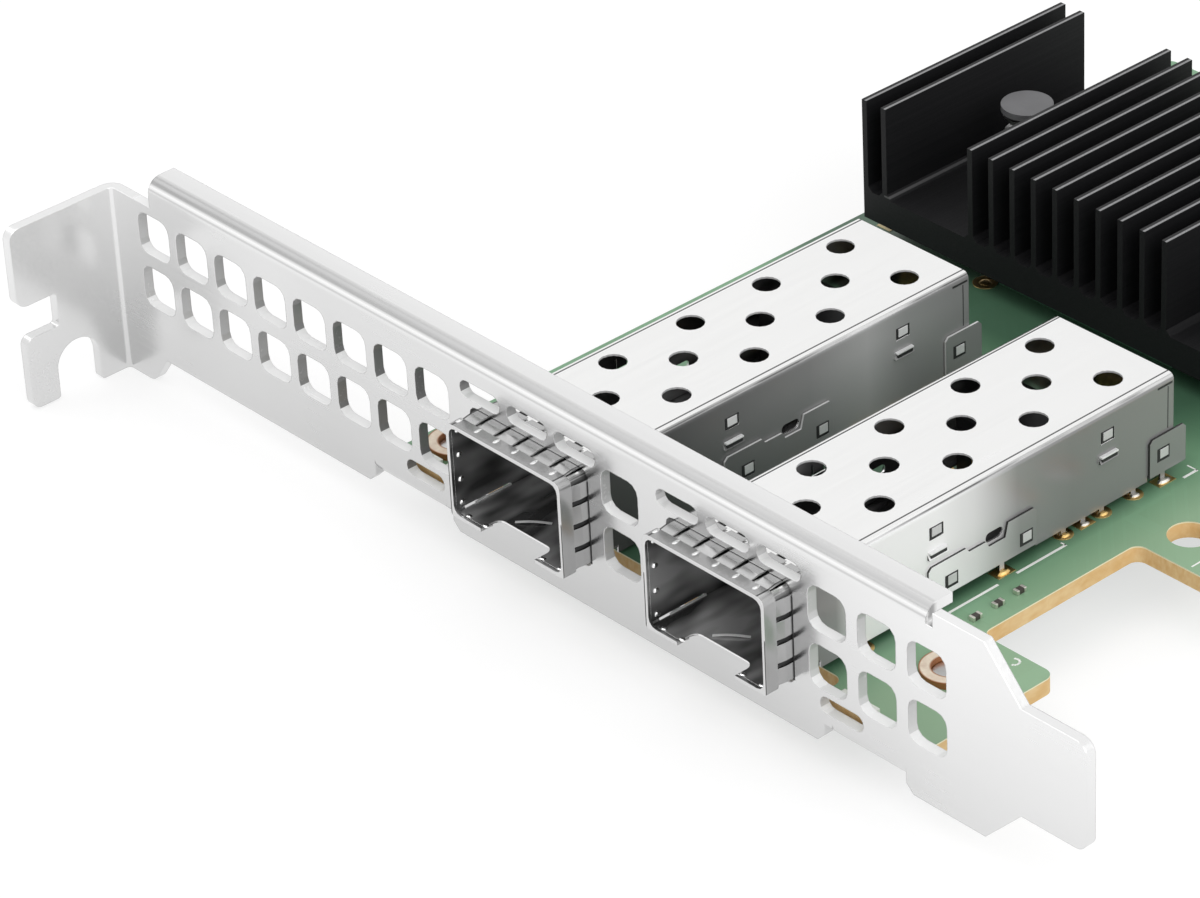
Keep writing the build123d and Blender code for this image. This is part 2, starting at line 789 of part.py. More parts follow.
def make_collar(centre):
    """Front ring of a cage, with spring fingers on its top and both sides."""
    middle = at_x(centre)
    floor_bottom = cage_floor - collar_sheet
    side_start = cage_floor + cutout_corner / 2
    side_height = cage_top - cage_bend - side_start
    top_width = cage_width - 2 * cage_bend
    with BuildPart() as collar:
        # Closed band, then the rolled lip round the port's mouth
        with BuildSketch(upright(at_y(collar_front))) as band:
            with Locations((middle, (cage_top + cage_floor) / 2)):
                Rectangle(cage_width + 2 * collar_sheet, cage_top - cage_floor + 2 * collar_sheet)
            fillet(band.vertices().group_by(Axis.Y)[-1], cage_bend + collar_sheet)
            fillet(band.vertices().group_by(Axis.Y)[0], collar_corner)
            with Locations((middle, (cage_top + cage_floor) / 2)):
                inner_corner = collar_corner - collar_sheet
                Polygon(*soft_corners(cage_width, cage_top - cage_floor, inner_corner), mode=Mode.SUBTRACT)
        extrude(amount=-collar_band)
        with BuildSketch(upright(at_y(collar_front))) as rim:
            with Locations((middle, (cage_top + cage_floor) / 2)):
                Rectangle(cage_width + 2 * collar_sheet, cage_top - cage_floor + 2 * collar_sheet)
            fillet(rim.vertices().group_by(Axis.Y)[-1], cage_bend + collar_sheet)
            fillet(rim.vertices().group_by(Axis.Y)[0], collar_corner)
            with Locations((middle, (cage_top + cage_floor) / 2)):
                mouth_height = cage_top - cage_floor - 2 * cage_wall
                mouth = soft_corners(cage_width - 2 * cage_wall, mouth_height, lip_corner)
                Polygon(*mouth, mode=Mode.SUBTRACT)
        extrude(amount=-collar_lip)

        # Fingers on the top, then on each side
        with BuildSketch(Plane.YZ.offset(middle - top_width / 2)):
            with BuildLine():
                Polyline(*finger_profile(cage_top, 1), close=True)
            make_face()
        extrude(amount=top_width)
        for side in (-1, 1):
            with BuildSketch(Plane.XY.offset(side_start)):
                with BuildLine():
                    points = [(x, y) for y, x in finger_profile(middle + side * cage_half, side)]
                    Polyline(*points, close=True)
                make_face()
            extrude(amount=side_height)

        # Slits between the fingers
        slit_start = collar_front + collar_band
        slit_middle = at_y(slit_start + collar_end)
        with BuildSketch(Plane.XY.offset(cage_top)):
            with Locations((middle, slit_middle)):
                with GridLocations(finger_pitch, 1, fingers_on_top - 1, 1):
                    Rectangle(collar_slit, 2 * collar_end)
        extrude(amount=2 * (collar_sheet + collar_bulge), mode=Mode.SUBTRACT)
        slit_z = cage_floor + side_finger_pitch * (side_fingers + 1) / 2
        with BuildSketch(Plane.YZ.offset(middle - cage_width)):
            with Locations((slit_middle, slit_z)):
                with GridLocations(1, side_finger_pitch, 1, side_fingers):
                    Rectangle(2 * collar_end, collar_slit)
        extrude(amount=2 * cage_width, mode=Mode.SUBTRACT)

        # Mouth cut-out in the lower lip
        with BuildSketch(Plane.XY.offset(floor_bottom)):
            with Locations((middle, at_y(collar_front))):
                RectangleRounded(lip_cut_width, 2 * lip_cut_depth, lip_corner)
        extrude(amount=2 * collar_sheet + cage_wall, mode=Mode.SUBTRACT)
    return collar.part


def make_socket(centre):
    """Host socket with a card slot that opens to the cage's mouth."""
    middle = at_x(centre)
    rear_y = socket_front + socket_depth
    with BuildPart() as socket:
        with BuildSketch(Plane.YZ.offset(middle - socket_width / 2)):
            with BuildLine():
                Polyline(
                    (at_y(socket_front), board_top),
                    (at_y(socket_front), board_top + socket_height),
                    (at_y(rear_y) - socket_nose, board_top + socket_height),
                    (at_y(rear_y) - socket_nose, board_top + socket_shoulder + card_slot_middle / 2),
                    (at_y(rear_y), board_top + socket_shoulder),
                    (at_y(rear_y), board_top),
                    close=True,
                )
            make_face()
        extrude(amount=socket_width)
        with BuildSketch(upright(at_y(socket_front))):
            with Locations((middle, board_top + card_slot_middle)):
                Rectangle(card_slot_width, card_slot_height)
        extrude(amount=-card_slot_depth, mode=Mode.SUBTRACT)
        blade_bottom = board_top + card_slot_middle + card_slot_height / 2 - blade_sheet
        with BuildSketch(upright(at_y(socket_front))):
            with Locations((middle, blade_bottom + blade_sheet / 2)):
                Rectangle(blade_pitch * blade_count, blade_sheet)
        extrude(amount=-(socket_depth), mode=Mode.SUBTRACT)
        with BuildSketch(Plane.XY.offset(board_top - peg_length)):
            with Locations((middle, at_y(peg_y))):
                with GridLocations(peg_spacing, 1, 2, 1):
                    RegularPolygon(peg_radius, hidden_sides)
        extrude(amount=peg_length)
    return socket.part


def make_contacts(centre):
    """Two rows of contacts: the lower row lands before the socket, the upper row behind it."""
    middle = at_x(centre)
    rear_y = socket_front + socket_depth
    slot_floor = board_top + card_slot_middle - card_slot_height / 2
    slot_roof = board_top + card_slot_middle + card_slot_height / 2
    inner_end = socket_front + card_slot_depth - blade_inset
    rows = (
        (socket_front, -1, slot_floor, slot_floor + blade_sheet, inner_end),
        (rear_y, 1, slot_roof - blade_sheet, slot_roof, socket_front + blade_inset),
    )
    with BuildPart() as contacts:
        for wall_y, side, low, high, tip_y in rows:
            outer_y = at_y(wall_y) + side * blade_sheet
            foot_y = at_y(wall_y) + side * blade_foot
            for i in range(blade_count):
                x = middle + blade_pitch * (i - (blade_count - 1) / 2) - blade_width / 2
                with BuildSketch(Plane.YZ.offset(x)):
                    with BuildLine():
                        Polyline(
                            (at_y(tip_y), low),
                            (at_y(tip_y), high),
                            (outer_y, high),
                            (outer_y, board_top + blade_sheet),
                            (foot_y, board_top + blade_sheet),
                            (foot_y, board_top),
                            (at_y(wall_y), board_top),
                            (at_y(wall_y), low),
                            close=True,
                        )
                    make_face()
                extrude(amount=blade_width)
    return contacts.part


for number, centre in enumerate(cage_centres, start=1):
    save(make_shell(centre), "cage_shell_" + str(number))
    save(make_tray(centre), "cage_tray_" + str(number))
    save(make_collar(centre), "cage_collar_" + str(number))
    save(make_socket(centre), "port_socket_" + str(number))
    save(make_contacts(centre), "socket_contacts_" + str(number))

# Heatsink: a base with two outer fins, a wide channel and a group of fins on each side
fin_places = [outer_fin, outer_fin + outer_fin_pitch]
fin_places += [first_fin + fin_pitch * i for i in range(fin_count)]
fin_places += [2 * base_middle - x - fin_sheet for x in (outer_fin, outer_fin + outer_fin_pitch)]
base_width = 2 * (base_middle - outer_fin)
fin_depth = fin_rear - fin_front
with BuildPart() as heatsink:
    with BuildSketch(upright(at_y(fin_front))) as section:
        with Locations((at_x(base_middle), (base_bottom + base_top) / 2)):
            Rectangle(base_width, base_top - base_bottom)
        for x in fin_places:
            with Locations((at_x(x) + fin_sheet / 2, (base_top + fin_top) / 2)):
                Rectangle(fin_sheet, fin_top - base_top)
        floor_line = section.vertices().filter_by_position(Axis.Y, base_top - fit_gap, base_top + fit_gap)
        roots = [v for v in floor_line if abs(v.X - at_x(base_middle)) < base_width / 2 - fit_gap]
        chamfer(roots, fin_root)
    extrude(amount=-fin_depth)
    with BuildSketch(Plane.XY.offset(base_bottom)):
        with Locations(*pin_spots):
            RegularPolygon(pin_hole_radius, hidden_sides)
    extrude(amount=base_top - base_bottom, mode=Mode.SUBTRACT)
save(heatsink.part, "heatsink")

# Spring pins with a split barb under the board
head_bottom = pin_head_top - pin_head_height
with BuildPart() as heatsink_pins:
    for spot in pin_spots:
        with BuildSketch(Plane.XY.offset(head_bottom)):
            with Locations(spot):
                Circle(pin_head_radius)
        extrude(amount=pin_head_height)
        with BuildSketch(Plane.XY.offset(board_bottom)):
            with Locations(spot):
                RegularPolygon(pin_radius, hidden_sides)
        extrude(amount=head_bottom - board_bottom)
        with BuildSketch(Plane.XY.offset(board_bottom)):
            with Locations(spot):
                RegularPolygon(pin_barb_radius, hidden_sides)
        with BuildSketch(Plane.XY.offset(board_bottom - pin_barb_height)):
            with Locations(spot):
                RegularPolygon(pin_tip_radius, hidden_sides)
        loft(ruled=True)
        with BuildSketch(Plane.XY.offset(board_bottom - pin_barb_height)):
            with Locations(spot):
                Rectangle(2 * pin_barb_radius, pin_slot)
        extrude(amount=pin_barb_height + board_thickness, mode=Mode.SUBTRACT)
save(heatsink_pins.part, "heatsink_pins")

# Springs of square wire between the heatsink's base and the pins' heads, each turn a few straight runs
spring_height = head_bottom - base_top - spring_wire - 2 * spring_play
spring_steps = spring_turns * spring_runs
with BuildPart() as heatsink_springs:
    for spot in pin_spots:
        coil_points = []
        for step in range(spring_steps + 1):
            angle = radians(360 * step / spring_runs)
            level = base_top + spring_play + spring_wire / 2 + spring_height * step / spring_steps
            reach = (spring_radius * cos(angle), spring_radius * sin(angle))
            coil_points.append((spot[0] + reach[0], spot[1] + reach[1], level))
        with BuildLine() as coil:
            Polyline(*coil_points)
        with BuildSketch(Plane(origin=coil.line @ 0, x_dir=(0, 0, 1), z_dir=coil.line % 0)):
            Rectangle(spring_wire, spring_wire)
        sweep(path=coil.line, transition=Transition.RIGHT)
save(heatsink_springs.part, "heatsink_springs")


def make_blocks(size, places, bottom, corner=0):
    """Equal blocks that stand at a level, with their upright edges rounded."""
    with BuildPart() as blocks:
        with BuildSketch(Plane.XY.offset(bottom)):
            with Locations(*[(at_x(x), at_y(y)) for x, y in places]):
                if corner > 0:
                    RectangleRounded(size[0], size[1], corner)
                else:
                    Rectangle(size[0], size[1])
        extrude(amount=size[2])
    return blocks.part


# Controller chip under the heatsink
chip_place = [(base_middle, fin_middle_y)]
lid_bottom = board_top + chip_base_height
pad_bottom = lid_bottom + chip_lid_height
chip_base_size = (chip_size, chip_size, chip_base_height)
lid_size = (chip_lid_size, chip_lid_size, chip_lid_height)
pad_size = (chip_lid_size, chip_lid_size, base_bottom - pad_bottom)
save(make_blocks(chip_base_size, chip_place, board_top), "chip_base")
save(make_blocks(lid_size, chip_place, lid_bottom, board_corner), "chip_lid")
save(make_blocks(pad_size, chip_place, pad_bottom), "thermal_pad")

# Small parts on the board
led_places = []
for slot in (low_slot_1, low_slot_2):
    led_places += [(slot - led_spacing / 2, led_y), (slot + led_spacing / 2, led_y)]
save(make_blocks(led_size, led_places, board_top), "status_leds")
save(make_blocks(resistor_size, resistors_at, board_top), "resistors")
save(make_blocks(capacitor_size, capacitors_at, board_top), "capacitors")
save(make_blocks(inductor_size, inductors_at, board_top, inductor_corner), "inductors")
save(make_blocks(regulator_size, regulators_at, board_top), "regulators")
save(make_blocks(clock_size, [clock_at], board_top, clock_corner), "clock_can")

# Memory chip with four legs on each side
with BuildPart() as flash_chip:
    with BuildSketch(Plane.XY.offset(board_top + flash_leg[2])):
        with Locations((at_x(flash_at[0]), at_y(flash_at[1]))):
            Rectangle(flash_size[0], flash_size[1])
    extrude(amount=flash_size[2])
    with BuildSketch(Plane.XY.offset(board_top)):
        with Locations((at_x(flash_at[0]), at_y(flash_at[1]))):
            with GridLocations(flash_leg_pitch, flash_size[1] + flash_leg[1], 4, 2):
                Rectangle(flash_leg[0], 2 * flash_leg[1])
    extrude(amount=flash_leg[2])
save(flash_chip.part, "flash_chip")
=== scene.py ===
from math import cos, pi, radians, sin

import bmesh
import bpy
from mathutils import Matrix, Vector


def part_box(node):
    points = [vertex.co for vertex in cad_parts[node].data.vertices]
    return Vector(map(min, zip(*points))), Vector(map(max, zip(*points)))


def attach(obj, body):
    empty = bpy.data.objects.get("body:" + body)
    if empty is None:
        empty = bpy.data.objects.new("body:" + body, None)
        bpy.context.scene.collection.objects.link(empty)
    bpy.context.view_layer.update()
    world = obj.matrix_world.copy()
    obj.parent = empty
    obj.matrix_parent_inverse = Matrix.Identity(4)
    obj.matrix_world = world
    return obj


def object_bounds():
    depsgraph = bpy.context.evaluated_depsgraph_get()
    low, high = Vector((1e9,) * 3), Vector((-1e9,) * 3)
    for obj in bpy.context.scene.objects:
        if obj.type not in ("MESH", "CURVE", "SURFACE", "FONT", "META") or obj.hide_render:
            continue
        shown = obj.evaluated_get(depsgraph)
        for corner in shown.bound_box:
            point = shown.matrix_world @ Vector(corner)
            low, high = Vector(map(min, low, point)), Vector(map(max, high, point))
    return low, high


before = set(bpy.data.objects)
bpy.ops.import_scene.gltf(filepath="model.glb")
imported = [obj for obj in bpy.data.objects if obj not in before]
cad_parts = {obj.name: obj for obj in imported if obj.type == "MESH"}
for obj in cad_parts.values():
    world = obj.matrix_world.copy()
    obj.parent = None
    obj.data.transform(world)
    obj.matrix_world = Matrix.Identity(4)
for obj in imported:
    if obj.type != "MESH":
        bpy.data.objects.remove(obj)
cad_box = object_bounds()

# Lengths are written in millimetres and turned into metres by MM
MM = 0.001
SHEET = 0.97
FACE_Y = 5.45

# Levels read from the frame, in metres
BOARD_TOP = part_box("pcb")[1][2]
FLOOR_Z = cad_box[0][2]

# Places from the tab's outer face and the bracket's outer face
CAGE_CENTRES = {"1": 56.6, "2": 80.7}
CAGE_HALF = 6.95
CAGE_TOP = 13.27
CAGE_LENGTH = 46.0
COLLAR_TOP = 13.42
COLLAR_FLOOR = 4.5
WALL = 0.2
FIN_TOP = 17.67
FIN_SHEET = 0.6
FIN_PITCH = 2.598
FIRST_FIN = 53.62
LAST_FIN_TURN = 9.5
FIN_ROOT = 8.5
OUTER_FINS = (40.36, 42.77, 87.85, 90.26)
BRACKET_WIDTH = 18.42
FLANGE_DEPTH = 3.05
BRACKET_LENGTH = 120.02
FLANGE_END = 102.9
FOLD_RADIUS = 1.5
CHANNEL_X = (43.0, 50.0)

# Limits of the vents in the frame's X and Z, the painted shade line along the cages' bends, measured inwards
# from their sides, and the level that the tray's flanges stay below
VENTS_X = (3.0, 105.5)
VENTS_Z = (2.0, 16.3)
CREASE_SHADE_INSET = (0.76, 0.60)
FLANGE_TOP = 9.5

# Painted shade and light on the vents' upright walls: grey levels along the bracket
WALL_SHADE_STOPS = ((0.0, 0.70), (0.12, 0.50), (0.24, 0.24), (0.38, 0.20), (0.52, 0.62), (1.0, 0.80))

# Painted highlight and shade on the fold and satin flange, from the bracket's outer face to the flange's rear
# edge
FLANGE_HIGHLIGHT_STOPS = (
    (0.0, 0.80), (0.015, 0.84), (0.035, 0.62), (0.055, 0.90), (0.08, 1.0), (0.11, 0.78), (0.14, 0.46),
    (0.17, 0.38), (0.20, 0.33), (0.25, 0.34), (0.31, 0.38), (0.37, 0.62), (0.46, 0.80), (1.0, 0.84),
)

# Places of small things on the board
NUT_CENTRES = ((40.6, 5.2), (95.0, 10.4))
NUT_BORE_STAIN = 1.62
NUT_RIM_STAIN = 2.38
PLATED_HOLE = (54.1, 56.0)
BARE_SPOT = ((39.7, 56.5), (41.4, 58.1))
RESISTORS = ((91.15, 17.25), (91.1, 19.9), (91.03, 22.5))
SHELL_TAILS_Y = (8.0, 31.15, 33.5, 35.75, 39.6)
TRAY_TAILS_Y = (23.6, 42.9)
BARE_TAILS_Y = (23.6, 31.15, 35.75)
SQUARE_PADS_Y = (33.5,)

# Places on the cages' sides, for painted light on tongues and painted shadow in slits: the shell's lanced
# windows and louvres, its rear slits, the tray's windows
SIDE_WINDOWS_Y = (16.4, 36.45)
TONGUE_Z = (10.45, 11.25)
TONGUE_SHADOW_Z = (10.25, 11.35)
LOUVRE_Z = (8.95, 9.12)
LOUVRE_SHADOW_Z = (8.62, 8.95)
REAR_SLIT_SHADOW = ((43.72, 43.82), (8.2, 12.3))
UPPER_SLIT_SHADOW = ((42.5, 44.3), (12.42, 12.62))
FLANGE_WINDOWS = ((17.8, 5.5), (26.5, 5.5), (43.0, 6.15))
TRAY_GAP = 0.06

# Places on each collar and in its port: X from the cage's middle, Y from the bracket's outer face and Z
# from the frame's origin
TOP_DIMPLES = 6
FIRST_DIMPLE = -6.3
DIMPLE_PITCH = 2.33
WALL_DIMPLES_Z = (12.3, 9.9, 7.5, 5.2)
LIP_DIMPLES_X = (-5.5, -3.34, 3.79, 5.99)
FINGER_GAPS_Z = (6.5, 8.7, 10.9)
SHADOW_GAP_X = (7.14, 7.36)
SHADOW_GAP_Z = (4.5, 12.5)
LATCH_START = (-1.95, -0.3)
LATCH_RUN = (2.4, 2.0)
LATCH_RISE = 0.12
LATCH_STEPS = 10

# How deep a thin plate's foot lies in the wall that it stands on
SUNK = 0.02


def at(x, y, z):
    """A point in metres, from X and Y places on the card and a height in millimetres."""
    return Vector(((x - SHEET) * MM, (y + FACE_Y) * MM, z * MM))


# Node helpers for procedural materials

def start_material(name):
    mat = bpy.data.materials.new(name)
    mat.use_nodes = True
    tree = mat.node_tree
    return mat, tree, tree.nodes["Principled BSDF"]


def put(tree, kind, **values):
    node = tree.nodes.new(kind)
    for key, value in values.items():
        setattr(node, key, value)
    return node


def link(tree, source, target):
    tree.links.new(source, target)


def coords(tree, scale=(1, 1, 1)):
    """Object coordinates in millimetres, stretched by a scale."""
    where = put(tree, "ShaderNodeTexCoord")
    mapping = put(tree, "ShaderNodeMapping")
    mapping.inputs["Scale"].default_value = [s / MM for s in scale]
    link(tree, where.outputs["Object"], mapping.inputs["Vector"])
    return mapping.outputs["Vector"]


def axes(tree, vector):
    split = put(tree, "ShaderNodeSeparateXYZ")
    link(tree, vector, split.inputs[0])
    return split.outputs


def noise(tree, vector, scale, detail, roughness=0.55):
    node = put(tree, "ShaderNodeTexNoise")
    node.inputs["Scale"].default_value = scale
    node.inputs["Detail"].default_value = detail
    node.inputs["Roughness"].default_value = roughness
    link(tree, vector, node.inputs["Vector"])
    return node.outputs["Fac"]


def spread(tree, value, low, high, source=(0.3, 0.7)):
    """The value, mapped from a source range to a new range and held within it."""
    node = put(tree, "ShaderNodeMapRange")
    node.inputs["From Min"].default_value = source[0]
    node.inputs["From Max"].default_value = source[1]
    node.inputs["To Min"].default_value = low
    node.inputs["To Max"].default_value = high
    link(tree, value, node.inputs["Value"])
    return node.outputs["Result"]


def calc(tree, operation, a, b=None):
    node = put(tree, "ShaderNodeMath", operation=operation)
    for socket, value in zip(node.inputs, (a, b)):
        if value is None:
            continue
        if isinstance(value, (int, float)):
            socket.default_value = value
        else:
            link(tree, value, socket)
    return node.outputs[0]


def times(tree, *values):
    total = values[0]
    for value in values[1:]:
        total = calc(tree, "MULTIPLY", total, value)
    return total


def blend(tree, factor, a, b):
    node = put(tree, "ShaderNodeMix", data_type="RGBA")
    link(tree, factor, node.inputs[0])
    for socket, value in ((node.inputs[6], a), (node.inputs[7], b)):
        if isinstance(value, tuple):
            socket.default_value = (*value, 1)
        else:
            link(tree, value, socket)
    return node.outputs[2]


def ramp(tree, value, stops):
    """A grey level read from a row of (place, level) stops."""
    node = put(tree, "ShaderNodeValToRGB")
    band = node.color_ramp.elements
    while len(band) < len(stops):
        band.new(0.5)
    for element, (place, level) in zip(band, stops):
        element.position = place
        element.color = (level, level, level, 1)
    link(tree, value, node.inputs[0])
    return node.outputs[0]


def above(tree, value, limit, soft=0.05):
    return spread(tree, value, 0.0, 1.0, (limit - soft, limit + soft))


def below(tree, value, limit, soft=0.05):
    return spread(tree, value, 1.0, 0.0, (limit - soft, limit + soft))


def facing(tree, axis):
    """How far the surface faces along an axis, either way, from 0 to 1."""
    where = put(tree, "ShaderNodeTexCoord")
    share = calc(tree, "ABSOLUTE", axes(tree, where.outputs["Normal"])[axis])
    return spread(tree, share, 0.0, 1.0, (0.45, 0.65))


def bump(tree, shader, height, strength, distance, round_edge=0.0):
    node = put(tree, "ShaderNodeBump")
    node.inputs["Strength"].default_value = strength
    node.inputs["Distance"].default_value = distance * MM
    link(tree, height, node.inputs["Height"])
    if round_edge > 0:
        edge = put(tree, "ShaderNodeBevel", samples=6)
        edge.inputs["Radius"].default_value = round_edge * MM
        link(tree, edge.outputs[0], node.inputs["Normal"])
    link(tree, node.outputs[0], shader.inputs["Normal"])


def plate_finish(tree, shader, color, rough, brush, brush_share, grain, round_edge):
    """Fine brushing, faint cloudy roughness and edges that catch the light. Returns the brushed colour."""
    streaks = noise(tree, coords(tree, brush), 1.0, 4.0, 0.6)
    clouds = noise(tree, coords(tree), 0.12, 3.0)
    fine = noise(tree, coords(tree), 9.0, 2.0)
    dark = tuple(c * (1 - brush_share) for c in color)
    tone = blend(tree, spread(tree, streaks, 0.0, 1.0), dark, color)
    cloudy = spread(tree, clouds, rough * 0.85, rough * 1.15)
    link(tree, calc(tree, "ADD", cloudy, spread(tree, streaks, -0.03, 0.03)), shader.inputs["Roughness"])
    height = calc(tree, "ADD", streaks, calc(tree, "MULTIPLY", fine, 0.5))
    bump(tree, shader, height, grain, 0.05, round_edge)
    return tone


def metal(name, color, rough, brush, brush_share, grain, round_edge):
    """Plated or drawn metal, brushed by a scale on each axis, with edges rounded by some millimetres."""
    mat, tree, shader = start_material(name)
    shader.inputs["Metallic"].default_value = 1.0
    tone = plate_finish(tree, shader, color, rough, brush, brush_share, grain, round_edge)
    link(tree, tone, shader.inputs["Base Color"])
    return mat


def bracket_plate(name):
    """Satin plated sheet, with a painted highlight along its fold, a face painted darker lower down and
    lighter at both ends, and painted shade and light on the vents' walls.
    """
    mat, tree, shader = start_material(name)
    tone = plate_finish(tree, shader, (1.0, 1.0, 1.0), 0.24, (0.03, 3.0, 3.0), 0.02, 0.001, 0.14)
    x, y, z = axes(tree, coords(tree))
    # Painted shade and light: the face darker lower down, lighter towards the tail and the tab
    height_shade = spread(tree, z, 0.61, 0.73, (1.0, 16.0))
    tail_light = spread(tree, x, 1.0, 1.20, (78.0, 104.0))
    tab_light = spread(tree, x, 1.16, 1.0, (0.0, 30.0))
    front = times(tree, height_shade, tail_light, tab_light)
    # Painted highlight and shade across the fold and the flange
    from_face = calc(tree, "DIVIDE", calc(tree, "SUBTRACT", y, FACE_Y), FLANGE_DEPTH)
    flange = ramp(tree, from_face, FLANGE_HIGHLIGHT_STOPS)
    on_flange = calc(
        tree,
        "MULTIPLY",
        above(tree, z, BRACKET_WIDTH - FOLD_RADIUS + 0.25, 0.2),
        below(tree, x, FLANGE_END - SHEET + 0.1, 0.05),
    )
    color = blend(tree, on_flange, front, flange)
    # Painted shade on the vents' side walls, and painted light on the walls facing up and down
    walls = times(
        tree,
        calc(tree, "SUBTRACT", 1.0, facing(tree, 1)),
        below(tree, z, VENTS_Z[1], 0.1),
        above(tree, x, VENTS_X[0], 0.1),
        above(tree, z, VENTS_Z[0], 0.1),
        below(tree, x, VENTS_X[1], 0.1),
    )
    shade = ramp(tree, calc(tree, "DIVIDE", x, BRACKET_LENGTH), WALL_SHADE_STOPS)
    wall_light_and_shade = blend(tree, facing(tree, 2), shade, (0.93, 0.93, 0.93))
    color = blend(tree, walls, color, wall_light_and_shade)
    mixed = put(tree, "ShaderNodeMix", data_type="RGBA", blend_type="MULTIPLY")
    mixed.inputs[0].default_value = 1.0
    link(tree, color, mixed.inputs[6])
    link(tree, tone, mixed.inputs[7])
    link(tree, mixed.outputs[2], shader.inputs["Base Color"])
    link(tree, spread(tree, walls, 1.0, 0.1, (0.0, 1.0)), shader.inputs["Metallic"])
    return mat


def cage_plate(name, centre, color, front_shading, edge_shading, side_reflection_stops, side_metal):
    """Plated cage sheet, bright on top, with painted shade along its bends, painted reflections on its sides,
    painted light in the top's holes and painted shade inside.
    """
    mat, tree, shader = start_material(name)
    tone = plate_finish(tree, shader, color, 0.22, (2.0, 0.06, 2.0), 0.03, 0.008, 0.06)
    x, y, z = axes(tree, coords(tree))
    across = calc(tree, "ABSOLUTE", calc(tree, "SUBTRACT", x, centre - SHEET))
    depth = calc(tree, "SUBTRACT", y, FACE_Y)
    front = facing(tree, 1)
    up = facing(tree, 2)
    inside = times(
        tree,
        below(tree, across, CAGE_HALF - WALL / 2, 0.04),
        below(tree, z, COLLAR_TOP - 1.5 * WALL, 0.04),
        above(tree, z, COLLAR_FLOOR - WALL / 2, 0.04),
        calc(tree, "SUBTRACT", 1.0, front),
    )
    # Painted light on the walls of the holes in the top
    rim_light = times(
        tree,
        below(tree, across, CAGE_HALF - 1.0, 0.04),
        above(tree, z, CAGE_TOP - 1.2 * WALL, 0.02),
        above(tree, depth, 3.0),
        calc(tree, "SUBTRACT", 1.0, up),
    )
    # Painted shade: a dark line along the bends of the top
    crease_shade = times(
        tree,
        up,
        above(tree, across, CAGE_HALF - CREASE_SHADE_INSET[0], 0.02),
        below(tree, across, CAGE_HALF - CREASE_SHADE_INSET[1], 0.02),
    )
    # Painted reflections and shade on the sides
    side = calc(tree, "MULTIPLY", facing(tree, 0), calc(tree, "SUBTRACT", 1.0, inside))
    side_reflection = ramp(tree, calc(tree, "DIVIDE", depth, CAGE_LENGTH), side_reflection_stops)
    outer = blend(tree, side, tone, side_reflection)
    # Faces facing the front get a set grey level, painted light and shade
    outer = blend(tree, front, outer, (front_shading,) * 3)
    outer = blend(tree, crease_shade, outer, (0.10, 0.10, 0.10))
    # Painted shadow line on the flanges' cut edges, or painted light where the level is high
    edge = times(
        tree,
        above(tree, across, CAGE_HALF + 0.04, 0.02),
        calc(tree, "SUBTRACT", 1.0, facing(tree, 0)),
        below(tree, z, FLANGE_TOP, 0.1),
    )
    outer = blend(tree, edge, outer, (edge_shading,) * 3)
    # Painted shade inside the port, with patches of painted reflection
    inner_reflections = noise(tree, coords(tree, (0.6, 0.2, 0.5)), 0.45, 2.0)
    inner = blend(tree, spread(tree, inner_reflections, 0.0, 1.0, (0.43, 0.62)), (0.10, 0.10, 0.10), (0.70, 0.70, 0.70))
    shown = blend(tree, inside, outer, inner)
    link(tree, blend(tree, rim_light, shown, (0.60, 0.60, 0.60)), shader.inputs["Base Color"])
    gleam = spread(tree, depth, side_metal[0], side_metal[1], (20.0, 27.0))
    metallic = calc(tree, "SUBTRACT", 1.0, calc(tree, "MULTIPLY", side, calc(tree, "SUBTRACT", 1.0, gleam)))
    dull = calc(tree, "MAXIMUM", calc(tree, "MULTIPLY", inside, 0.35), calc(tree, "MAXIMUM", rim_light, edge))
    link(tree, calc(tree, "MULTIPLY", metallic, calc(tree, "SUBTRACT", 1.0, dull)), shader.inputs["Metallic"])
    return mat


def plastic(name, color, rough, grain_scale=14.0, grain=0.08, round_edge=0.05, coat=0.0):
    """Moulded or pressed material with a fine even grain."""
    mat, tree, shader = start_material(name)
    grain_noise = noise(tree, coords(tree), grain_scale, 2.0)
    clouds = noise(tree, coords(tree), 0.4, 3.0)
    light = tuple(min(1.0, c * 1.12 + 0.004) for c in color)
    link(tree, blend(tree, spread(tree, clouds, 0.0, 1.0), color, light), shader.inputs["Base Color"])
    link(tree, spread(tree, grain_noise, rough - 0.05, rough + 0.05), shader.inputs["Roughness"])
    shader.inputs["Coat Weight"].default_value = coat
    bump(tree, shader, grain_noise, grain, 0.04, round_edge)
    return mat


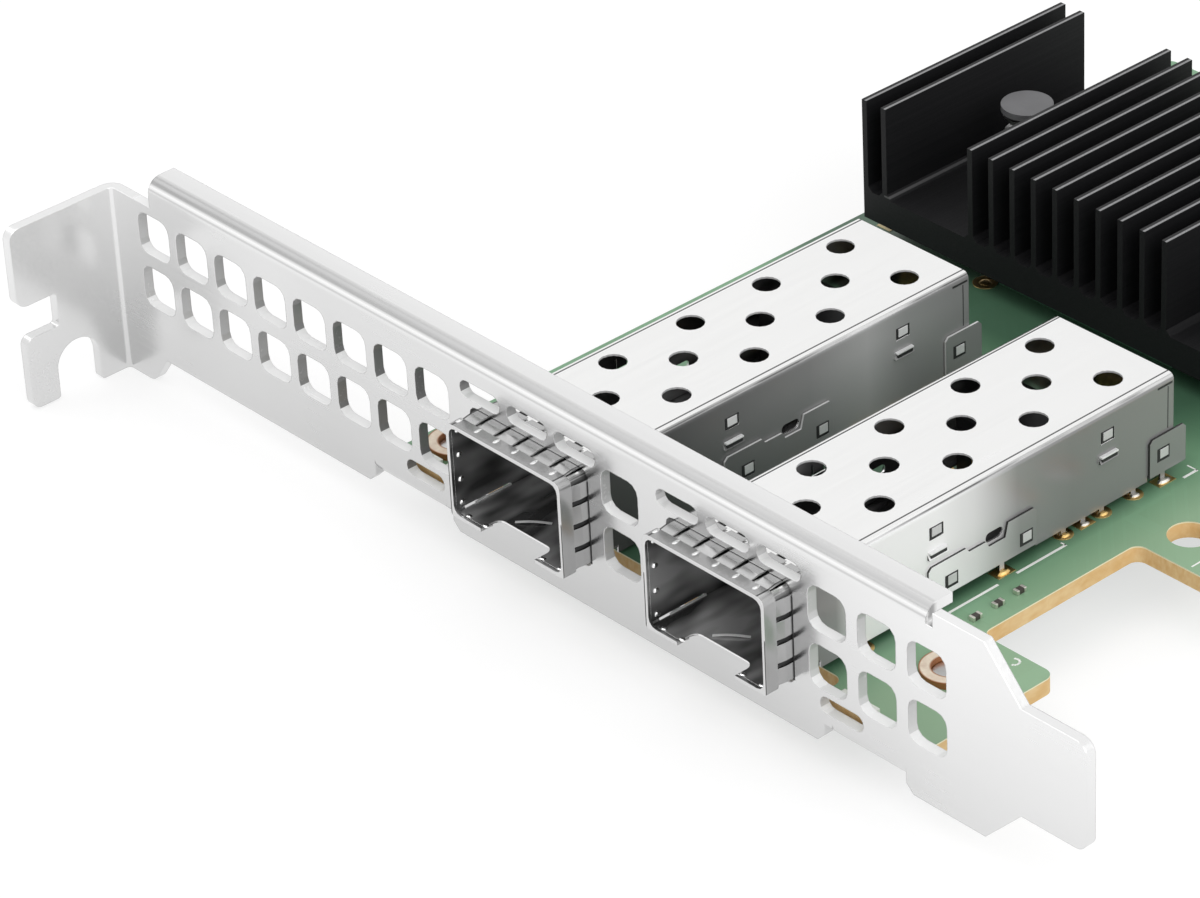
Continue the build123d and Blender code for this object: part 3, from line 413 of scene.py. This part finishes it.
def anodised(name):
    """Black anodised extrusion with fine lines along the fins, tops painted a little lighter, and painted
    highlights along the fin tops and the roots in the wide channel.
    """
    mat, tree, shader = start_material(name)
    lines = noise(tree, coords(tree, (6.0, 0.03, 6.0)), 1.0, 4.0, 0.6)
    speckle = noise(tree, coords(tree), 6.0, 3.0)
    x, y, z = axes(tree, coords(tree))
    place = calc(tree, "ADD", x, SHEET)
    turns = calc(tree, "DIVIDE", calc(tree, "SUBTRACT", place, FIRST_FIN), FIN_PITCH)
    along = calc(tree, "MULTIPLY", calc(tree, "FRACT", turns), FIN_PITCH)
    # Painted highlights: thin lines along the fin tops
    middle_fins = times(
        tree,
        above(tree, turns, -0.2),
        below(tree, turns, LAST_FIN_TURN),
        above(tree, along, FIN_SHEET * 0.55, 0.02),
    )
    highlight_lines = times(tree, middle_fins, below(tree, along, FIN_SHEET * 0.95, 0.02))
    for fin in OUTER_FINS:
        from_line = calc(tree, "ABSOLUTE", calc(tree, "SUBTRACT", place, fin + FIN_SHEET * 0.75))
        highlight_lines = calc(tree, "MAXIMUM", highlight_lines, below(tree, from_line, 0.12, 0.02))
    top = calc(tree, "MULTIPLY", above(tree, z, FIN_TOP - 0.1, 0.05), facing(tree, 2))
    # Painted highlight along the roots in the wide channel
    root = times(
        tree,
        above(tree, z, FIN_ROOT + 0.12, 0.03),
        below(tree, z, FIN_ROOT + 0.30, 0.03),
        below(tree, place, CHANNEL_X[1]),
        above(tree, place, CHANNEL_X[0]),
    )
    side = blend(tree, spread(tree, lines, 0.0, 1.0), (0.008, 0.008, 0.009), (0.014, 0.014, 0.015))
    fin_highlight = blend(tree, spread(tree, speckle, 0.0, 1.0), (0.20, 0.20, 0.205), (0.34, 0.34, 0.345))
    # Tops painted a little lighter than the sides
    color = blend(tree, top, side, (0.022, 0.022, 0.023))
    color = blend(tree, calc(tree, "MULTIPLY", top, highlight_lines), color, fin_highlight)
    link(tree, blend(tree, root, color, (0.10, 0.10, 0.102)), shader.inputs["Base Color"])
    link(tree, spread(tree, speckle, 0.48, 0.58), shader.inputs["Roughness"])
    shader.inputs["Specular IOR Level"].default_value = 0.16
    height = calc(tree, "ADD", lines, calc(tree, "MULTIPLY", speckle, 0.4))
    bump(tree, shader, height, 0.10, 0.04)
    return mat


def nut_plate(name):
    """Tinned nut flange: cream, with brown flux round its bore and its rim."""
    mat, tree, shader = start_material(name)
    x, y, z = axes(tree, coords(tree))
    reach = None
    for centre in NUT_CENTRES:
        dx = calc(tree, "SUBTRACT", x, centre[0] - SHEET)
        dy = calc(tree, "SUBTRACT", y, centre[1] + FACE_Y)
        length = calc(tree, "SQRT", calc(tree, "ADD", times(tree, dx, dx), times(tree, dy, dy)))
        reach = length if reach is None else calc(tree, "MINIMUM", reach, length)
    round_bore = below(tree, reach, NUT_BORE_STAIN, 0.10)
    round_rim = above(tree, reach, NUT_RIM_STAIN, 0.06)
    stain = calc(tree, "MAXIMUM", round_bore, round_rim)
    blot = spread(tree, noise(tree, coords(tree), 1.1, 3.0), 0.0, 0.35)
    stain = calc(tree, "MAXIMUM", stain, blot)
    link(tree, blend(tree, stain, (0.90, 0.80, 0.66), (0.36, 0.14, 0.05)), shader.inputs["Base Color"])
    shader.inputs["Metallic"].default_value = 0.35
    fine = noise(tree, coords(tree), 5.0, 3.0)
    link(tree, spread(tree, fine, 0.36, 0.48), shader.inputs["Roughness"])
    bump(tree, shader, fine, 0.08, 0.05, 0.08)
    return mat


# Solder mask greens; the last two are painted light on the open foot and painted shade by the heatsink and
# the cage
MASK_DARK = (0.165, 0.330, 0.190)
MASK_LIGHT = (0.210, 0.395, 0.235)
MASK_OVER_COPPER = (0.215, 0.425, 0.255)
MASK_LIT_FOOT = (0.310, 0.450, 0.285)
MASK_IN_SHADE = (0.030, 0.085, 0.050)


def board_material(name):
    """Solder mask with copper areas and tracks under it, painted light on the open foot, painted shade by the
    heatsink and the second cage, and a bare laminate edge.
    """
    mat, tree, shader = start_material(name)
    is_face = facing(tree, 2)
    vector = coords(tree)
    weave = noise(tree, coords(tree, (2.2, 0.5, 1.0)), 1.0, 2.0)
    clouds = noise(tree, vector, 0.09, 3.0)
    cells = put(tree, "ShaderNodeTexVoronoi", distance="CHEBYCHEV", feature="F1")
    cells.inputs["Scale"].default_value = 0.16
    cells.inputs["Randomness"].default_value = 0.85
    link(tree, vector, cells.inputs["Vector"])
    copper = above(tree, cells.outputs["Distance"], 0.56, 0.012)
    wave = put(tree, "ShaderNodeTexWave", wave_type="BANDS", bands_direction="DIAGONAL")
    wave.inputs["Scale"].default_value = 0.42
    link(tree, vector, wave.inputs["Vector"])
    tracks = times(tree, above(tree, wave.outputs["Fac"], 0.83, 0.03), above(tree, clouds, 0.53, 0.03))
    lit = calc(tree, "MAXIMUM", copper, calc(tree, "MULTIPLY", tracks, 0.6))
    green = blend(tree, spread(tree, clouds, 0.0, 1.0), MASK_DARK, MASK_LIGHT)
    green = blend(tree, calc(tree, "MULTIPLY", lit, 0.45), green, MASK_OVER_COPPER)
    x, y, z = axes(tree, vector)
    # Painted light on the open foot
    green = blend(tree, spread(tree, x, 0.0, 0.6, (88.0, 92.5)), green, MASK_LIT_FOOT)
    # Painted shade by the heatsink and behind the second cage
    by_heatsink = times(
        tree,
        spread(tree, y, 0.0, 1.0, (48.5, 56.0)),
        spread(tree, x, 1.0, 0.0, (80.0, 90.0)),
        spread(tree, y, 1.0, 0.0, (62.0, 74.0)),
    )
    beside_cage = times(
        tree,
        spread(tree, x, 1.0, 0.0, (86.6, 88.6)),
        above(tree, x, 62.0),
        spread(tree, y, 1.0, 0.0, (46.0, 56.0)),
    )
    heatsink_shade = calc(tree, "MULTIPLY", by_heatsink, 0.8)
    cage_shade = calc(tree, "MULTIPLY", beside_cage, 0.75)
    green = blend(tree, calc(tree, "MAXIMUM", heatsink_shade, cage_shade), green, MASK_IN_SHADE)
    edge = blend(tree, spread(tree, weave, 0.0, 1.0), (0.84, 0.54, 0.22), (0.95, 0.70, 0.36))
    edge = blend(tree, above(tree, z, BOARD_TOP / MM - 0.13, 0.02), edge, (1.0, 0.93, 0.66))
    link(tree, blend(tree, is_face, edge, green), shader.inputs["Base Color"])
    shine = spread(tree, clouds, 0.28, 0.38)
    rough = calc(tree, "ADD", calc(tree, "MULTIPLY", is_face, calc(tree, "SUBTRACT", shine, 0.65)), 0.65)
    link(tree, rough, shader.inputs["Roughness"])
    height = calc(tree, "ADD", calc(tree, "MULTIPLY", lit, 0.6), calc(tree, "MULTIPLY", weave, 0.15))
    bump(tree, shader, height, 0.25, 0.035)
    return mat


CAGE_COLOR = (0.89, 0.89, 0.885)
COLLAR_COLOR = (0.46, 0.46, 0.46)

# Painted reflection and shade on each cage's sides, as grey levels from the front to the rear, and painted
# light and shade on its flanges' cut edges
SIDE_REFLECTION_STOPS = {
    "1": (
        (0.0, 0.09), (0.20, 0.10), (0.38, 0.19), (0.55, 0.30),
        (0.70, 0.52), (0.80, 0.36), (1.0, 0.28),
    ),
    "2": (
        (0.0, 0.25), (0.11, 0.34), (0.17, 1.0), (0.36, 1.0),
        (0.45, 0.80), (0.56, 0.33), (0.70, 0.27), (1.0, 0.32),
    ),
}
EDGE_SHADING = {"1": 0.80, "2": 0.03}

# Share of mirror-like metal at the sides, before and behind the place where the level falls
SIDE_METAL = {"1": (0.12, 0.12), "2": (0.02, 0.22)}
COLLAR_METAL = (0.6, 0.6)
COLLAR_SIDE_SHADE = ((0.0, 0.50), (1.0, 0.50))
# Grey levels of the faces facing the front: painted light and shade
CAGE_FRONT_SHADING = 0.80
COLLAR_FRONT_SHADING = 0.66
# Grey level of the collars' cut edges: painted shadow
COLLAR_EDGE_SHADE = 0.03

# Metals: colour, roughness, brushing on each axis and its share, grain and rounding of the edges
# Plastics: colour, roughness, then the grain's scale and height, rounding of the edges and clear coat
materials = {
    "bracket": bracket_plate("bracket_plate"),
    "screw": metal("screw_plate", (0.62, 0.62, 0.62), 0.30, (3.0, 3.0, 3.0), 0.08, 0.04, 0.10),
    "nut": nut_plate("nut_plate"),
    # Dark plates as painted shadow in slits and gaps
    "gap_shadow": plastic("seam_shadow", (0.020, 0.020, 0.021), 0.60),
    "gold": metal("gold_plate", (0.86, 0.60, 0.24), 0.34, (2.0, 2.0, 2.0), 0.10, 0.03, 0.03),
    "lid": metal("lid_plate", (0.66, 0.66, 0.66), 0.32, (3.0, 0.4, 3.0), 0.08, 0.03, 0.08),
    "wire": metal("spring_wire", (0.52, 0.52, 0.52), 0.32, (3.0, 3.0, 3.0), 0.10, 0.03, 0.0),
    "solder": metal("solder_tin", (0.82, 0.79, 0.73), 0.34, (2.0, 2.0, 2.0), 0.10, 0.05, 0.03),
    # Dimples painted brighter than the collar, as painted highlights
    "dimple": metal("dimple_highlight", (0.95, 0.95, 0.95), 0.20, (2.0, 2.0, 2.0), 0.05, 0.01, 0.0),
    # Tongues and lips as light grey copies of the plating: painted light, brighter on the first cage
    "tongue_1": plastic("tongue_painted_bright", (0.74, 0.74, 0.74), 0.30, 6.0, 0.02, 0.0, 0.5),
    "tongue_2": plastic("tongue_painted_dim", (0.60, 0.60, 0.60), 0.30, 6.0, 0.02, 0.0, 0.5),
    "lip": plastic("lip_painted_highlight", (0.82, 0.82, 0.82), 0.30, 6.0, 0.02, 0.0, 0.5),
    "heatsink": anodised("heatsink_anodised"),
    "board": board_material("board_mask"),
    "pin": plastic("pin_nylon", (0.125, 0.125, 0.130), 0.45),
    "pad": plastic("gap_pad", (0.42, 0.44, 0.47), 0.75, 8.0, 0.15),
    "chip": plastic("chip_mould", (0.025, 0.025, 0.028), 0.55, 20.0, 0.15),
    "laminate": plastic("chip_laminate", (0.05, 0.16, 0.09), 0.40),
    "socket": plastic("socket_mould", (0.022, 0.022, 0.024), 0.42),
    "lamp": plastic("lamp_lens", (0.80, 0.82, 0.76), 0.25, 10.0, 0.03, 0.08, 0.4),
    "resistor": plastic("resistor_film", (0.05, 0.04, 0.035), 0.35),
    "capacitor": plastic("capacitor_body", (0.42, 0.32, 0.21), 0.50),
    "inductor": plastic("inductor_powder", (0.10, 0.10, 0.105), 0.60, 8.0, 0.25),
    "silk": plastic("silkscreen_ink", (0.86, 0.87, 0.84), 0.55, 10.0, 0.05),
    "tan": plastic("bare_laminate", (0.60, 0.50, 0.28), 0.60, 10.0, 0.10),
}
for number, centre in CAGE_CENTRES.items():
    materials["cage_" + number] = cage_plate(
        "cage_plate_" + number, centre, CAGE_COLOR, CAGE_FRONT_SHADING,
        EDGE_SHADING[number], SIDE_REFLECTION_STOPS[number], SIDE_METAL[number],
    )
    materials["collar_" + number] = cage_plate(
        "collar_plate_" + number, centre, COLLAR_COLOR, COLLAR_FRONT_SHADING,
        COLLAR_EDGE_SHADE, COLLAR_SIDE_SHADE, COLLAR_METAL,
    )

finishes = {
    "bracket": "bracket", "bracket_screws": "screw", "board_nuts": "nut", "pcb": "board",
    "edge_contacts": "gold", "heatsink": "heatsink", "heatsink_pins": "pin",
    "heatsink_springs": "wire", "thermal_pad": "pad", "chip_base": "laminate", "chip_lid": "lid",
    "status_leds": "lamp", "resistors": "resistor", "capacitors": "capacitor",
    "inductors": "inductor", "regulators": "chip", "clock_can": "lid", "flash_chip": "chip",
}
for number in CAGE_CENTRES:
    finishes["cage_shell_" + number] = "cage_" + number
    finishes["cage_tray_" + number] = "cage_" + number
    finishes["cage_collar_" + number] = "collar_" + number
    finishes["port_socket_" + number] = "socket"
    finishes["socket_contacts_" + number] = "gold"

for node_name, finish in finishes.items():
    node_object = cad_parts[node_name]
    node_object.data.materials.clear()
    node_object.data.materials.append(materials[finish])


# Small pieces that the frame leaves to the scene

def add_piece(name, mesh, finish, rounding=0.0):
    """Turn a bmesh into a piece that rides on the card."""
    data = bpy.data.meshes.new(name)
    bmesh.ops.recalc_face_normals(mesh, faces=mesh.faces)
    mesh.to_mesh(data)
    mesh.free()
    data.materials.append(materials[finish])
    piece = bpy.data.objects.new(name, data)
    bpy.context.scene.collection.objects.link(piece)
    if rounding > 0:
        soften = piece.modifiers.new("soften", "BEVEL")
        soften.width = rounding * MM
        soften.segments = 2
    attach(piece, "root")


def block(mesh, low, high):
    """An upright box between two corners."""
    corners = [Vector((x, y, z)) for z in (low.z, high.z) for y in (low.y, high.y) for x in (low.x, high.x)]
    verts = [mesh.verts.new(corner) for corner in corners]
    for face in ((0, 1, 3, 2), (4, 5, 7, 6), (0, 1, 5, 4), (1, 3, 7, 5), (3, 2, 6, 7), (2, 0, 4, 6)):
        mesh.faces.new([verts[i] for i in face])


def slab(mesh, face, side, proud, ys, zs):
    """A thin upright plate that stands on a side wall, whose outer face is at X = face."""
    low_x, high_x = sorted((face - side * SUNK, face + side * proud))
    block(mesh, at(low_x, ys[0], zs[0]), at(high_x, ys[1], zs[1]))


def wedge(mesh, xs, outline):
    """An upright plate between two X places, with an outline of (y, z) points."""
    loops = [[mesh.verts.new(at(x, y, z)) for y, z in outline] for x in xs]
    for i in range(len(outline)):
        j = (i + 1) % len(outline)
        mesh.faces.new((loops[0][i], loops[0][j], loops[1][j], loops[1][i]))
    for loop in loops:
        mesh.faces.new(loop)


def ribbon(mesh, points, width, thickness):
    """A closed strip that follows a row of points, and lies flat across them."""
    loops = []
    for i, point in enumerate(points):
        ahead = points[min(i + 1, len(points) - 1)] - points[max(i - 1, 0)]
        across = Vector((ahead.y, -ahead.x, 0)).normalized() * width / 2 * MM
        lift = Vector((0, 0, thickness * MM))
        corners = (point - across, point + across, point + across + lift, point - across + lift)
        loops.append([mesh.verts.new(corner) for corner in corners])
    for a, b in zip(loops, loops[1:]):
        for i in range(4):
            j = (i + 1) % 4
            mesh.faces.new((a[i], a[j], b[j], b[i]))
    mesh.faces.new(loops[0])
    mesh.faces.new(loops[-1])


def ring(mesh, centre, inner, outer, height, sides=28):
    """A flat ring that stands on its centre's level."""
    loops = []
    for radius, level in ((inner, 0.0), (outer, 0.0), (outer, height), (inner, height)):
        loop = []
        for i in range(sides):
            turn = 2 * pi * i / sides
            spot = centre + Vector((radius * cos(turn), radius * sin(turn), level)) * MM
            loop.append(mesh.verts.new(spot))
        loops.append(loop)
    for a, b in zip(loops, loops[1:] + loops[:1]):
        for i in range(sides):
            j = (i + 1) % sides
            mesh.faces.new((a[i], a[j], b[j], b[i]))


def dome(mesh, centre, radii, sides=14, rows=5):
    """A closed flattened ball at a centre, with a radius along each axis in millimetres."""
    top = mesh.verts.new(centre + Vector((0, 0, radii[2])) * MM)
    bottom = mesh.verts.new(centre - Vector((0, 0, radii[2])) * MM)
    loops = []
    for row in range(1, rows):
        tilt = pi * row / rows
        loop = []
        for i in range(sides):
            turn = 2 * pi * i / sides
            reach = (radii[0] * sin(tilt) * cos(turn), radii[1] * sin(tilt) * sin(turn), radii[2] * cos(tilt))
            loop.append(mesh.verts.new(centre + Vector(reach) * MM))
        loops.append(loop)
    for i in range(sides):
        j = (i + 1) % sides
        mesh.faces.new((top, loops[0][i], loops[0][j]))
        mesh.faces.new((bottom, loops[-1][j], loops[-1][i]))
        for a, b in zip(loops, loops[1:]):
            mesh.faces.new((a[i], b[i], b[j], a[j]))


board_level = BOARD_TOP / MM

# White printed lines on the board beside the second cage, with hooked ends, and a mark on the leg
print_width = 0.16
print_height = 0.02
marks = (
    ((89.05, 16.4), (88.95, 21.96)),
    ((88.95, 24.4), (88.85, 30.1)),
    ((88.85, 30.1), (88.45, 30.1)),
    ((87.9, 46.08), (88.85, 46.08)),
    ((88.85, 46.08), (88.95, 44.5)),
    ((98.6, 35.0), (98.6, 36.2)),
)
print_mesh = bmesh.new()
for start, end in marks:
    low = (min(start[0], end[0]) - print_width / 2, min(start[1], end[1]) - print_width / 2)
    high = (max(start[0], end[0]) + print_width / 2, max(start[1], end[1]) + print_width / 2)
    block(print_mesh, at(*low, board_level), at(*high, board_level + print_height))

# A small hooked print mark on the foot
hook_centre = (97.7, 15.0)
hook_radius = 0.45
hook_steps = 8
hook_start = -60
hook_sweep = 210
dot_half = (0.09, 0.11)
for step in range(hook_steps):
    turn = radians(hook_start + hook_sweep * step / hook_steps)
    x = hook_centre[0] + hook_radius * cos(turn)
    y = hook_centre[1] + hook_radius * sin(turn)
    low = at(x - dot_half[0], y - dot_half[1], board_level)
    high = at(x + dot_half[0], y + dot_half[1], board_level + print_height)
    block(print_mesh, low, high)
add_piece("board_print", print_mesh, "silk")

# Gold pads round the cages' tails, square at the tray's tails, with a drop of gold or solder at each
pad_height = 0.04
pad_ring = (0.5, 0.95)
shell_drop = (0.35, 0.5, 0.22)
tray_drop = (0.4, 0.75, 0.3)
pads = bmesh.new()
solder = bmesh.new()


def square_pad(x, y, left, right, half):
    """A flat gold square round a tail, that reaches left and right of it by given lengths."""
    block(pads, at(x - left, y - half, board_level), at(x + right, y + half, board_level + pad_height))


for centre in CAGE_CENTRES.values():
    for side in (-1, 1):
        shell_x = centre + side * (CAGE_HALF - WALL / 2)
        tray_x = centre + side * (CAGE_HALF + TRAY_GAP + WALL / 2)
        for y in SHELL_TAILS_Y:
            metal_drop = pads if y in BARE_TAILS_Y else solder
            dome(metal_drop, at(shell_x + side * 0.3, y, board_level), shell_drop)
            if y in SQUARE_PADS_Y:
                square_pad(shell_x, y, 0.6, 0.75, 0.9)
            else:
                ring(pads, at(shell_x, y, board_level), *pad_ring, pad_height)
        for y in TRAY_TAILS_Y:
            metal_drop = pads if y in BARE_TAILS_Y else solder
            square_pad(tray_x, y, 0.55, 0.75, 1.0)
            dome(metal_drop, at(tray_x + side * 0.25, y, board_level), tray_drop)

# Plated through hole and bare spot in front of the heatsink
ring(pads, at(*PLATED_HOLE, board_level), 0.55, 1.15, pad_height)
dome(pads, at(*PLATED_HOLE, board_level), (0.56, 0.56, 0.12))
add_piece("tail_pads", pads, "gold")
add_piece("tail_solder", solder, "solder")
spot = bmesh.new()
block(spot, at(*BARE_SPOT[0], board_level), at(*BARE_SPOT[1], board_level + pad_height))
add_piece("bare_spot", spot, "tan")

# Plated ends of the small resistors
resistor_half = (0.29, 0.535)
resistor_top = 0.42
end_length = 0.27
ends = bmesh.new()
for x, y in RESISTORS:
    for side in (-1, 1):
        near = y + side * (resistor_half[1] - end_length)
        far = y + side * resistor_half[1]
        block(
            ends,
            at(x - resistor_half[0], min(near, far), board_level),
            at(x + resistor_half[0], max(near, far), board_level + resistor_top),
        )
add_piece("resistor_ends", ends, "solder", 0.04)

for number, centre in CAGE_CENTRES.items():
    # Pressed dimples of the collar: on the top, inside the left wall and on the lower lips, painted bright as
    # highlights
    dimples = bmesh.new()
    for i in range(TOP_DIMPLES):
        dome(dimples, at(centre + FIRST_DIMPLE + DIMPLE_PITCH * i, -1.97, COLLAR_TOP), (0.2, 0.42, 0.05))
    for z in WALL_DIMPLES_Z:
        dome(dimples, at(centre - CAGE_HALF + WALL + 0.02, -1.9, z), (0.16, 0.30, 0.30))
    for across in LIP_DIMPLES_X:
        dome(dimples, at(centre + across, -2.3, COLLAR_FLOOR + 0.02), (0.34, 0.26, 0.14))
    add_piece("collar_dimples_" + number, dimples, "dimple")

    # Latch spring on the floor, near the mouth, and a bright strip along the fold at the left wall, both
    # painted bright as highlights
    latch = bmesh.new()
    spring = []
    for step in range(LATCH_STEPS + 1):
        share = step / LATCH_STEPS
        x = centre + LATCH_START[0] + LATCH_RUN[0] * share
        y = LATCH_START[1] + LATCH_RUN[1] * share
        spring.append(at(x, y, COLLAR_FLOOR + 0.05 + LATCH_RISE * sin(pi * share)))
    ribbon(latch, spring, 0.26, 0.06)
    block(
        latch,
        at(centre - CAGE_HALF + WALL + 0.02, -0.6, COLLAR_FLOOR),
        at(centre - CAGE_HALF + WALL + 0.14, 3.4, COLLAR_FLOOR + 0.16),
    )
    add_piece("latch_spring_" + number, latch, "lip")

    # Lance tongues and louvre lips on the shell's sides, painted bright as painted light, with dark plates as
    # painted shadow in the slits beside them
    lips = bmesh.new()
    tongues = bmesh.new()
    slit_shadows = bmesh.new()
    for side in (-1, 1):
        face = centre + side * CAGE_HALF
        for y in SIDE_WINDOWS_Y:
            slab(tongues, face, side, 0.07, (y - 0.55, y + 0.55), TONGUE_Z)
            slab(slit_shadows, face, side, 0.02, (y - 0.72, y + 0.66), TONGUE_SHADOW_Z)
            slab(lips, face, side, 0.34, (y - 1.0, y + 1.0), LOUVRE_Z)
            slab(slit_shadows, face, side, 0.30, (y - 0.9, y + 0.9), LOUVRE_SHADOW_Z)
        for ys, zs in (REAR_SLIT_SHADOW, UPPER_SLIT_SHADOW):
            slab(slit_shadows, face, side, 0.01, ys, zs)
        flange = centre + side * (CAGE_HALF + TRAY_GAP + WALL)
        for y, z in FLANGE_WINDOWS:
            slab(slit_shadows, flange, side, 0.02, (y - 0.72, y + 0.72), (z - 0.62, z + 0.62))
            slab(tongues, flange, side, 0.05, (y - 0.42, y + 0.58), (z - 0.36, z + 0.52))
        # Painted shadows in the gaps between the collar's side fingers, pointed at the front
        for z in FINGER_GAPS_Z:
            gap = [(-1.65, z), (-1.2, z + 0.20), (-0.02, z + 0.24), (-0.02, z - 0.24), (-1.2, z - 0.20)]
            wedge(slit_shadows, (face - side * SUNK, face + side * 0.13), gap)
    # A dark plate as painted shadow in the gap between the collar's side and the bracket's cut-out
    low = at(centre + SHADOW_GAP_X[0], -SUNK, SHADOW_GAP_Z[0])
    high = at(centre + SHADOW_GAP_X[1], SUNK, SHADOW_GAP_Z[1])
    block(slit_shadows, low, high)
    add_piece("side_louvres_" + number, lips, "lip", 0.03)
    add_piece("side_tongues_" + number, tongues, "tongue_" + number, 0.03)
    add_piece("side_slit_shadows_" + number, slit_shadows, "gap_shadow")

# Floor, lights and world: pale for the camera and in reflections, with the card's soft shadow kept

floor_half = 3.0
floor_mesh = bmesh.new()
corners = [(-1, -1), (1, -1), (1, 1), (-1, 1)]
floor_mesh.faces.new([floor_mesh.verts.new((x * floor_half, y * floor_half, FLOOR_Z)) for x, y in corners])
floor_data = bpy.data.meshes.new("floor")
floor_mesh.to_mesh(floor_data)
floor_mesh.free()
floor = bpy.data.objects.new("floor", floor_data)
bpy.context.scene.collection.objects.link(floor)
floor_mat, floor_tree, floor_shader = start_material("floor_pale")
floor_shader.inputs["Base Color"].default_value = (0.40, 0.40, 0.40, 1)
floor_shader.inputs["Roughness"].default_value = 0.9
floor_shader.inputs["Specular IOR Level"].default_value = 0.0
floor_shader.inputs["Emission Color"].default_value = (1, 1, 1, 1)
FLOOR_GLOW = 0.645


def seen_or_mirrored(tree):
    """1 for rays from the camera, mirrors and glass, and 0 for the rest."""
    rays = put(tree, "ShaderNodeLightPath")
    mirrored = calc(tree, "MAXIMUM", rays.outputs["Is Glossy Ray"], rays.outputs["Is Transmission Ray"])
    return calc(tree, "MAXIMUM", rays.outputs["Is Camera Ray"], mirrored)


glow = calc(floor_tree, "MULTIPLY", seen_or_mirrored(floor_tree), FLOOR_GLOW)
link(floor_tree, glow, floor_shader.inputs["Emission Strength"])
floor_data.materials.append(floor_mat)

world = bpy.data.worlds.new("studio")
bpy.context.scene.world = world
world.use_nodes = True
sky = world.node_tree
background = sky.nodes["Background"]
height = axes(sky, put(sky, "ShaderNodeTexCoord").outputs["Generated"])[2]
dim = spread(sky, height, 0.45, 0.80, (-0.2, 0.9))
tone = put(sky, "ShaderNodeCombineColor")
for socket in tone.inputs[:3]:
    link(sky, calc(sky, "MAXIMUM", dim, seen_or_mirrored(sky)), socket)
link(sky, tone.outputs[0], background.inputs["Color"])


def softbox(name, place, target, size, power):
    light = bpy.data.lights.new(name, "AREA")
    light.shape = "RECTANGLE"
    light.size, light.size_y = size
    light.energy = power
    holder = bpy.data.objects.new(name, light)
    holder.location = place
    aim = Vector(target) - Vector(place)
    holder.rotation_euler = aim.to_track_quat("-Z", "Y").to_euler()
    bpy.context.scene.collection.objects.link(holder)


middle = (0.06, 0.05, 0.01)
softbox("key", (-0.30, -0.20, 0.80), middle, (0.8, 0.8), 1.9)
softbox("fill", (0.75, 0.00, 0.45), middle, (0.8, 0.6), 2.4)

# Camera at the photograph's place: 1200 by 898 pixels
IMAGE_WIDTH = 1200
IMAGE_HEIGHT = 898
FOCAL_PIXELS = 5335.16
CENTRE_X = 819.98
CENTRE_Y = 403.52
CAMERA_PLACE = (343.55, -230.62, 245.97)
CAMERA_TURN = (58.2394, 1.4384, 46.0486)
camera_data = bpy.data.cameras.new("camera")
camera_data.sensor_fit = "HORIZONTAL"
camera_data.sensor_width = 36.0
camera_data.lens = FOCAL_PIXELS * camera_data.sensor_width / IMAGE_WIDTH
camera_data.shift_x = (IMAGE_WIDTH / 2 - CENTRE_X) / IMAGE_WIDTH
camera_data.shift_y = (CENTRE_Y - IMAGE_HEIGHT / 2) / IMAGE_WIDTH
camera_data.clip_start = 0.01
camera = bpy.data.objects.new("camera", camera_data)
camera.location = [length * MM for length in CAMERA_PLACE]
camera.rotation_euler = [radians(angle) for angle in CAMERA_TURN]
bpy.context.scene.collection.objects.link(camera)
bpy.context.scene.camera = camera

bpy.context.scene.view_settings.view_transform = "Standard"
